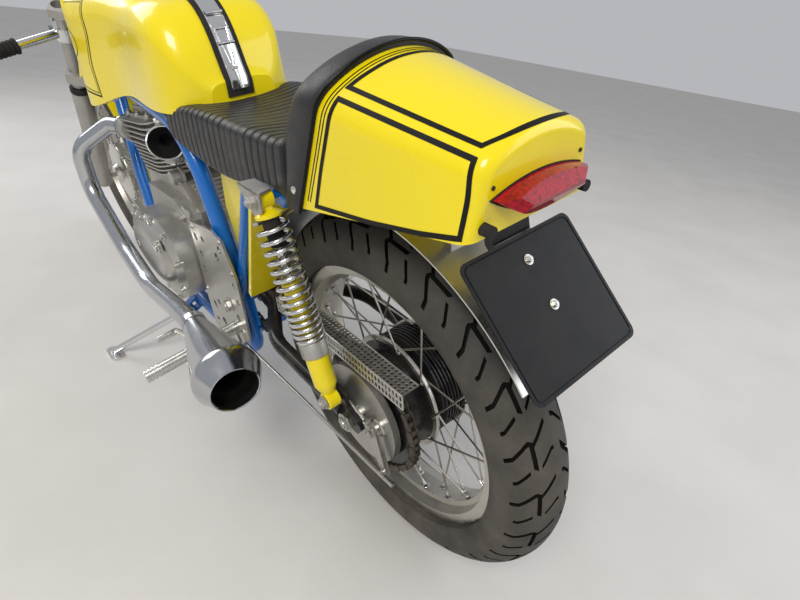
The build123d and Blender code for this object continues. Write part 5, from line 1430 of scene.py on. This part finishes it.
class RACER_OT_engine_fittings(bpy.types.Operator):
    """Cover screws, drilled plates, rocker caps and nuts of the engine"""
    bl_idname = "racer.engine_fittings"
    bl_label = "Engine fittings"

    def execute(self, context):
        screws = Shape()
        inset = 6.5
        rear, front = [(x, COVER_Z, radius - inset) for x, radius in (COVER_REAR, COVER_FRONT)]
        for index, spot in enumerate(belt_walk(rear, front, 11)):
            boss = [(0, 150), (7.6, 150), (7.6, 165), (6.6, 166), (0, 166)]
            screws.lathe(spot, (0, 1, 0), boss, 24, 1)
            screws.slotted_screw(spot + Vector((0, 165.8, 0)), (0, 1, 0), 5.2, 3.6, index * 0.9)
            screws.slotted_screw(spot + Vector((0, -141.6, 0)), (0, -1, 0), 5.2, 3.6, index * 1.3)
        plug = Vector((600, 177, 425))
        screws.lathe(plug, (0, 1, 0), [(0, -6), (14, -6), (14, 2), (12.5, 3.4), (0, 3.4)], 32, 1)
        screws.slotted_screw(plug + Vector((0, 3, 0)), (0, 1, 0), 8.5, 4.0, 0.6)
        screws.lathe((752, 182, 373), (0, 1, 0), [(0, -4), (9, -4), (9, 0.5), (7.8, 1.5), (0, 1.5)], 28, 1)
        piece("cover_screws", screws, ["bolt_steel", "polished_alloy"], "root")

        outline = [(530, 346), (522, 420), (520, 500), (400, 522), (361, 514), (346, 480), (331, 440), (333, 369),
                   (343, 289), (372, 262), (430, 228), (508, 214), (536, 228), (536, 300)]
        plates = Shape()
        for side in SIDES:
            y = 116.9 if side > 0 else -112.1
            plates.prism(outline, (0, y, 0), (1, 0, 0), (0, 0, 1), -4.8)
        dressing = Shape()
        for side in SIDES:
            for x, z in ((575, 486), (612, 505), (648, 524), (695, 528)):
                dressing.bolt((x, side * 78, z), (-0.45 if x < 640 else 0, 0, 0.9), 6.0, 6.0)
            pipe = rounded([(570, side * 60, 480), (560, side * 60, 540), (610, side * 66, 590), (668, side * 60, 610),
                            (672, side * 58, 672)], [18, 22, 20])
            dressing.tube(pipe, 3.6, 10)
            dressing.lathe((570, side * 60, 476), (-0.1, 0, 1), [(0, 0), (8, 0), (8, 10), (6, 13), (0, 13)], 16)
        lid = [(534, 470), (548, 470), (640, 519), (630, 524)]
        dressing.prism(lid, (0, 64, 0), (1, 0, 0), (0, 0, 1), 128)
        for x in range(548, 636, 11):
            z = 477 + (x - 540) * 0.5
            dressing.tube([(x, -62, z + 3), (x, 62, z + 3)], 2.6, 8)
        dressing.lathe((655, 66, 540), (0, 1, 0), [(0, 0), (20, 0), (20, 4), (15, 6), (15, 26), (12, 29), (0, 29)], 32)
        dressing.lathe((600, 96, 470), (0, 1, 0), [(0, 0), (24, 0), (24, 5), (21, 8), (0, 8)], 36)
        dressing.bolt((600, 104, 470), (0, 1, 0), 8, 6)
        piece("engine_dressing", dressing, ["cast_alloy"], "root")
        thing = piece("drilled_plates", plates, ["sheet_alloy"], "root")
        # columns: X, Z, radius
        openings = ((500, 470, 9), (462, 478, 7), (380, 488, 8), (494, 432, 7), (352, 420, 6), (500, 392, 8),
                    (352, 380, 6), (372, 330, 8), (498, 300, 9), (468, 268, 10), (430, 262, 8), (398, 288, 7),
                    (508, 252, 6), (470, 320, 7), (436, 316, 6), (404, 462, 9))
        drill(thing, [((x, 0, z), (0, 1, 0), radius, 140) for x, z, radius in openings])
        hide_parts("engine_plates")
        nuts = Shape()
        for x, z in ((516, 240), (360, 300), (345, 450), (372, 508), (508, 490), (524, 330), (420, 240)):
            for side in SIDES:
                nuts.bolt((x, side * ENGINE_PLATE_Y, z), (0, side, 0), 7.0, 6.0)
        for side in SIDES:
            nuts.lathe((400, side * ENGINE_PLATE_Y, 350), (0, side, 0), [(0, 0), (17, 0), (17, 5), (14, 7), (0, 7)], 28)
            nuts.bolt((400, side * 123, 350), (0, side, 0), 12.0, 9.0)
        rise = tilted(0, 0, 1) - tilted(0, 0, 0)
        head_top = HEAD_BASE + 61.5
        for side in SIDES:
            for end in SIDES:
                top = tilted(end * 46, side * 56, head_top + 25.8)
                nuts.lathe(top, rise, [(0, 0), (15.5, 0), (15.5, 3), (12, 6), (0, 7)], 28)
                nuts.bolt(top + rise * 5, rise, 8.5, 6.0)
            for end in (-70, 0, 70):
                nuts.bolt(tilted(end, side * 88, head_top - 4), rise, 7.0, 9.0)
        piece("engine_nuts", nuts, ["bolt_steel"], "root")
        return {"FINISHED"}


class RACER_OT_bellmouths(bpy.types.Operator):
    """The carburettors' open mouths, with rolled lips and small fittings"""
    bl_idname = "racer.bellmouths"
    bl_label = "Bellmouths"

    def execute(self, context):
        shape = Shape()
        for side in SIDES:
            base = tilted(-120, side * 74, PORT_HEIGHT)
            mouth = Vector((596, side * 99, 635))
            along = (mouth - base).normalized()
            lip = [(33.0, -1.0), (33.6, 1.2), (35.4, 1.6), (36.4, 0), (35.8, -1.8), (34.2, -2.4)]
            throat = [(0, -33), (13.4, -33), (13.8, -16.6), (32.8, -0.2), (31.6, 0.2), (12.8, -15.6), (12.2, -31),
                      (0, -31)]
            shape.lathe(mouth, along, lip, 48, 0)
            # The throat takes the second finish, near-black: painted shade deep inside the mouth
            shape.lathe(mouth, along, throat, 40, 1)
            body = base + along * 18
            shape.lathe(body, (0, 0, 1), [(0, 34), (17, 34), (17, 39), (14, 42), (7, 44), (0, 44)], 24, 0)
            shape.lathe(body, (0, 0, 1), [(0, -54), (9, -54), (9, -58), (0, -58)], 16, 0)
            for turn in (0.6, 2.2, 3.8, 5.4):
                shape.slotted_screw(body + Vector((12.5 * cos(turn), 12.5 * sin(turn), 36)), (0, 0, 1), 2.6, 2.4)
            spigot = ((0, 16, -30), (0, 24, -30), (6, 27, -24), (10, 27, 0))
            shape.tube([body + Vector((x, side * y, z)) for x, y, z in spigot], 3.4, 10)
        piece("bellmouths", shape, ["chrome", "soot_and_painted_shade"], "root")
        return {"FINISHED"}


class RACER_OT_tail_fittings(bpy.types.Operator):
    """The lamp's gasket and screws, and the bolts of the blank number plate"""
    bl_idname = "racer.tail_fittings"
    bl_label = "Tail fittings"

    def execute(self, context):
        gasket = Shape()
        rings = []
        for x in (-228.6, -231.6):
            ring = []
            for a in turns(48):
                y = 70 * cos(a)
                t = 1 - (y / 70) ** 2
                z = 777 + (12 * t if sin(a) > 0 else -25.5 * t)
                ring.append(Vector((x, y, z)))
            rings.append(ring)
        gasket.skin(rings)
        for side in SIDES:
            gasket.lathe((-229.5, side * 66, 789), (-1, 0, 0), [(0, 0), (2.6, 0), (2.2, 2.4), (0, 2.8)], 14, 0)
        piece("lamp_gasket", gasket, ["rubber"], "root")
        bolts = Shape()
        tilt = radians(45.6)
        out = Vector((-cos(tilt), 0, sin(tilt)))
        for x, z in ((-230.4, 685.1), (-269.6, 646.7)):
            face = Vector((x, 0, z)) + out * 0.2
            bolts.lathe(face, out, [(0, 0), (6.4, 0), (6.1, 1.0), (0, 1.2)], 24)
            bolts.bolt(face + out * 0.9, out, 3.8, 3.6)
        piece("plate_bolts", bolts, ["bolt_steel"], "root")
        edge = Shape()
        down = Vector((-sin(tilt), 0, -cos(tilt)))
        middle = Vector((-267, 0, 647)) + out * 1.7
        half_width, half_height, radius = 83.5, 77, 7.5
        path = []
        for cx, cz, start in ((1, 1, 0), (-1, 1, 90), (-1, -1, 180), (1, -1, 270)):
            for k in range(5):
                a = radians(start + 22.5 * k)
                path.append(middle + ACROSS * (cx * (half_width - radius) + radius * cos(a))
                            - down * (cz * (half_height - radius) + radius * sin(a)))
        edge.tube(path, 0.9, 8, True)
        piece("plate_rim", edge, ["black_plastic"], "root")
        return {"FINISHED"}


class RACER_OT_controls(bpy.types.Operator):
    """Ribbed footrests and grips"""
    bl_idname = "racer.controls"
    bl_label = "Controls"

    def execute(self, context):
        pegs = Shape()
        for side in SIDES:
            inner, outer = Vector((388, side * 118.8, 300)), Vector((391, side * 322, 280))
            along = (outer - inner).normalized()
            length = (outer - inner).length
            for reach in (108, 116, length - 26, length - 18, length - 10, length - 3):
                pegs.lathe(inner + along * reach, along, [(11, -2.6), (13.6, -1.8), (13.6, 1.8), (11, 2.6)], 28)
            for a in turns(10):
                out = Vector((cos(a), 0, sin(a)))
                pegs.tube([inner + along * 120 + out * 11.6, inner + along * (length - 30) + out * 11.6], 1.7, 8)
        piece("footrest_ribs", pegs, ["polished_alloy"], "root")

        grips = Shape()
        for side in SIDES:
            middle = Vector((FRONT_AXLE.x, side * FORK_SPREAD, FRONT_AXLE.z)) + STEER_UP * (TOP_YOKE_REACH - 21)
            end = middle + Vector((-58, side * 240, -26))
            start = middle + (end - middle) * 0.5
            along = (end - start).normalized()
            length = (end - start).length
            outline = [(11, 0), (18.5, 0), (18.5, 4)]
            for k in range(11):
                at = 6 + (length - 12) * k / 11
                outline += [(17.4, at), (16.4, at + 2), (16.4, at + 5), (17.4, at + 7)]
            outline += [(17.6, length - 2), (16, length + 1.0), (11, length + 1.0)]
            grips.lathe(start, along, outline, 28)
        piece("grips", grips, ["rubber"], "steering")
        return {"FINISHED"}


class RACER_OT_front_fittings(bpy.types.Operator):
    """Headlamp rim and glass, dials, and the fork's caps and seals"""
    bl_idname = "racer.front_fittings"
    bl_label = "Front fittings"

    def execute(self, context):
        lamp = Shape()
        mount = STEER_FOOT + STEER_UP * ((720 - STEER_FOOT.z) / STEER_UP.z) + STEER_AHEAD * 55
        back, front = mount + Vector((80, 0, 24)), mount + Vector((172, 0, 14))
        along = (front - back).normalized()
        # columns: radius, distance ahead of the shell's back
        rim = [(78, 74), (88.6, 75), (89.2, 82), (88.6, 91), (84, 95), (80, 93), (78.6, 90)]
        glass = [(0, 102.4), (30, 101.6), (55, 99.6), (72, 96.8), (80, 94.4), (80, 93.6), (55, 98.8), (30, 100.8),
                 (0, 101.6)]
        reflector = [(0, 100.3), (50, 97.3), (79.5, 92.3), (79.5, 92.7), (50, 97.7), (16, 99.9), (15, 100.4),
                     (0, 100.9)]
        for outline, sides, finish_index in ((rim, 72, 0), (glass, 64, 1), (reflector, 64, 2)):
            lamp.lathe(back, along, outline, sides, finish_index)
        piece("headlamp_glass", lamp, ["chrome", "lamp_glass", "lamp_reflector"], "steering")
        dials = Shape()
        top = STEER_FOOT + STEER_UP * ((TOP_YOKE_Z - STEER_FOOT.z) / STEER_UP.z)
        bezel = [(33.5, -1), (38.8, -1), (38.8, 2.4), (36.5, 4.2), (34.2, 3.2), (33.5, 1)]
        for side in SIDES:
            face = top + STEER_UP * 72.6 + STEER_AHEAD * 46 + ACROSS * side * 44
            dials.lathe(face, STEER_UP, bezel, 56, 0)
            dials.lathe(face, STEER_UP, round_bar(34, 0.1, 0.6), 40, 1)
            for k in range(11):
                a = radians(225 - 27 * k)
                out = STEER_AHEAD * sin(a) - ACROSS * cos(a)
                mark = [face + STEER_UP * 0.9 + out * reach for reach in (22 if k % 5 == 0 else 25, 30)]
                dials.tube(mark, 0.7, 6, finish_index=2)
            needle = STEER_AHEAD * sin(radians(225)) - ACROSS * cos(radians(225))
            raised = face + STEER_UP * 1.6
            dials.tube([raised - needle * 6, raised + needle * 24], [1.4, 0.5], 8, finish_index=2)
            dials.lathe(face, STEER_UP, [(0, 0.6), (4, 0.6), (3, 3.0), (0, 3.2)], 20, 1)
        piece("dials", dials, ["chrome", "black_plastic", "white_marks"], "steering")
        caps = Shape()
        for side in SIDES:
            axle = Vector((FRONT_AXLE.x, side * FORK_SPREAD, FRONT_AXLE.z))
            high = axle + STEER_UP * (TOP_YOKE_REACH + 20)
            caps.lathe(high, STEER_UP, [(0, -1), (17.4, -1), (17.4, 2), (15, 4), (0, 4)], 32)
            caps.bolt(high + STEER_UP * 3.5, STEER_UP, 11.0, 7.0)
            seal = axle + STEER_UP * 345
            caps.lathe(seal, STEER_UP, [(17.2, -6), (26.2, -6), (26.2, 4), (22, 9), (17.2, 11)], 40, 1)
            caps.bolt(axle + Vector((0, side * 25, 0)), (0, side, 0), 12.0, 9.0)
        piece("fork_caps", caps, ["chrome", "rubber"], "steering")
        return {"FINISHED"}


class RACER_OT_stage(bpy.types.Operator):
    """Floor, soft lights and the camera at the photograph's place"""
    bl_idname = "racer.stage"
    bl_label = "Stage"

    def execute(self, context):
        scene = context.scene
        floor_mesh = bpy.data.meshes.new("floor")
        reach = 14.0
        corners = [(-reach, -reach, 0), (reach, -reach, 0), (reach, reach, 0), (-reach, reach, 0)]
        floor_mesh.from_pydata(corners, [], [(0, 1, 2, 3)])
        made, tree, inputs = start_material("floor_concrete")
        axes = node(tree, "TexCoord").outputs["Object"]
        patches = remap(tree, noise(tree, axes, 3.0, 6.0), 0.3, 0.7)
        tone = blend_colour(tree, patches, (0.60, 0.58, 0.55), (0.66, 0.64, 0.61))
        tree.links.new(tone, inputs["Base Color"])
        inputs["Roughness"].default_value = 0.8
        bump(tree, inputs, noise(tree, axes, 180.0, 3.0), 0.3)
        floor_mesh.materials.append(made)
        floor = bpy.data.objects.new("floor", floor_mesh)
        scene.collection.objects.link(floor)

        world = bpy.data.worlds.new("studio")
        scene.world = world
        world.use_nodes = True
        tree = world.node_tree
        sky = tree.nodes["Background"]
        sky.inputs["Color"].default_value = (0.93, 0.95, 1.0, 1.0)
        sky.inputs["Strength"].default_value = 0.5
        # columns: name, place, size, power, colour
        lamps = (("key", (-2.2, 2.6, 3.4), 1.6, 120.0, (1.0, 0.97, 0.92)),
                 ("fill", (-2.8, -2.4, 2.2), 2.6, 45.0, (0.92, 0.95, 1.0)),
                 ("front", (2.8, 1.2, 2.6), 2.2, 50.0, (1.0, 1.0, 1.0)))
        for name, at, size, power, colour in lamps:
            light = bpy.data.lights.new(name, "AREA")
            light.size, light.energy, light.color = size, power, colour
            thing = bpy.data.objects.new(name, light)
            thing.location = at
            thing.rotation_euler = (Vector((0, 0, 0.45)) - Vector(at)).to_track_quat("-Z", "Y").to_euler()
            scene.collection.objects.link(thing)

        view = bpy.data.cameras.new("photo_camera")
        view.lens, view.sensor_width, view.clip_start = CAMERA_LENS_MM, 36.0, 0.01
        camera = bpy.data.objects.new("photo_camera", view)
        right, up = CAMERA_RIGHT.normalized(), CAMERA_UP.normalized()
        back = right.cross(up).normalized()
        up = back.cross(right)
        turn = Matrix((right, up, back)).transposed().to_4x4()
        camera.matrix_world = Matrix.Translation(CAMERA_AT) @ turn
        scene.collection.objects.link(camera)
        scene.camera = camera
        scene.view_settings.view_transform = "Standard"
        return {"FINISHED"}


class RACER_PT_panel(bpy.types.Panel):
    """Settings and pieces of the cafe racer"""
    bl_idname = "RACER_PT_panel"
    bl_label = "Cafe Racer"
    bl_space_type = "VIEW_3D"
    bl_region_type = "UI"
    bl_category = "Cafe Racer"

    def draw(self, context):
        layout = self.layout
        for settings, kind in ((context.scene.racer_colours, RacerColours), (context.scene.racer_sizes, RacerSizes)):
            for name in kind.__annotations__:
                layout.prop(settings, name)
        for kind in OPERATORS:
            layout.operator(kind.bl_idname)


OPERATORS = (RACER_OT_solids, RACER_OT_tyres, RACER_OT_wheel_fittings, RACER_OT_seat_cushion, RACER_OT_seat_roll,
             RACER_OT_stripes, RACER_OT_tank_strap, RACER_OT_shocks, RACER_OT_chain, RACER_OT_chain_guard,
             RACER_OT_exhausts, RACER_OT_rear_axle_fittings, RACER_OT_engine_fittings, RACER_OT_bellmouths,
             RACER_OT_tail_fittings, RACER_OT_controls, RACER_OT_front_fittings, RACER_OT_stage)


def register():
    for kind in (RacerColours, RacerSizes, *OPERATORS, RACER_PT_panel):
        bpy.utils.register_class(kind)
    bpy.types.Scene.racer_colours = PointerProperty(type=RacerColours)
    bpy.types.Scene.racer_sizes = PointerProperty(type=RacerSizes)


def unregister():
    del bpy.types.Scene.racer_sizes
    del bpy.types.Scene.racer_colours
    for kind in reversed((RacerColours, RacerSizes, *OPERATORS, RACER_PT_panel)):
        bpy.utils.unregister_class(kind)


def main():
    register()
    for kind in OPERATORS:
        section, name = kind.bl_idname.split(".")
        getattr(getattr(bpy.ops, section), name)()


if __name__ == "__main__":
    main()
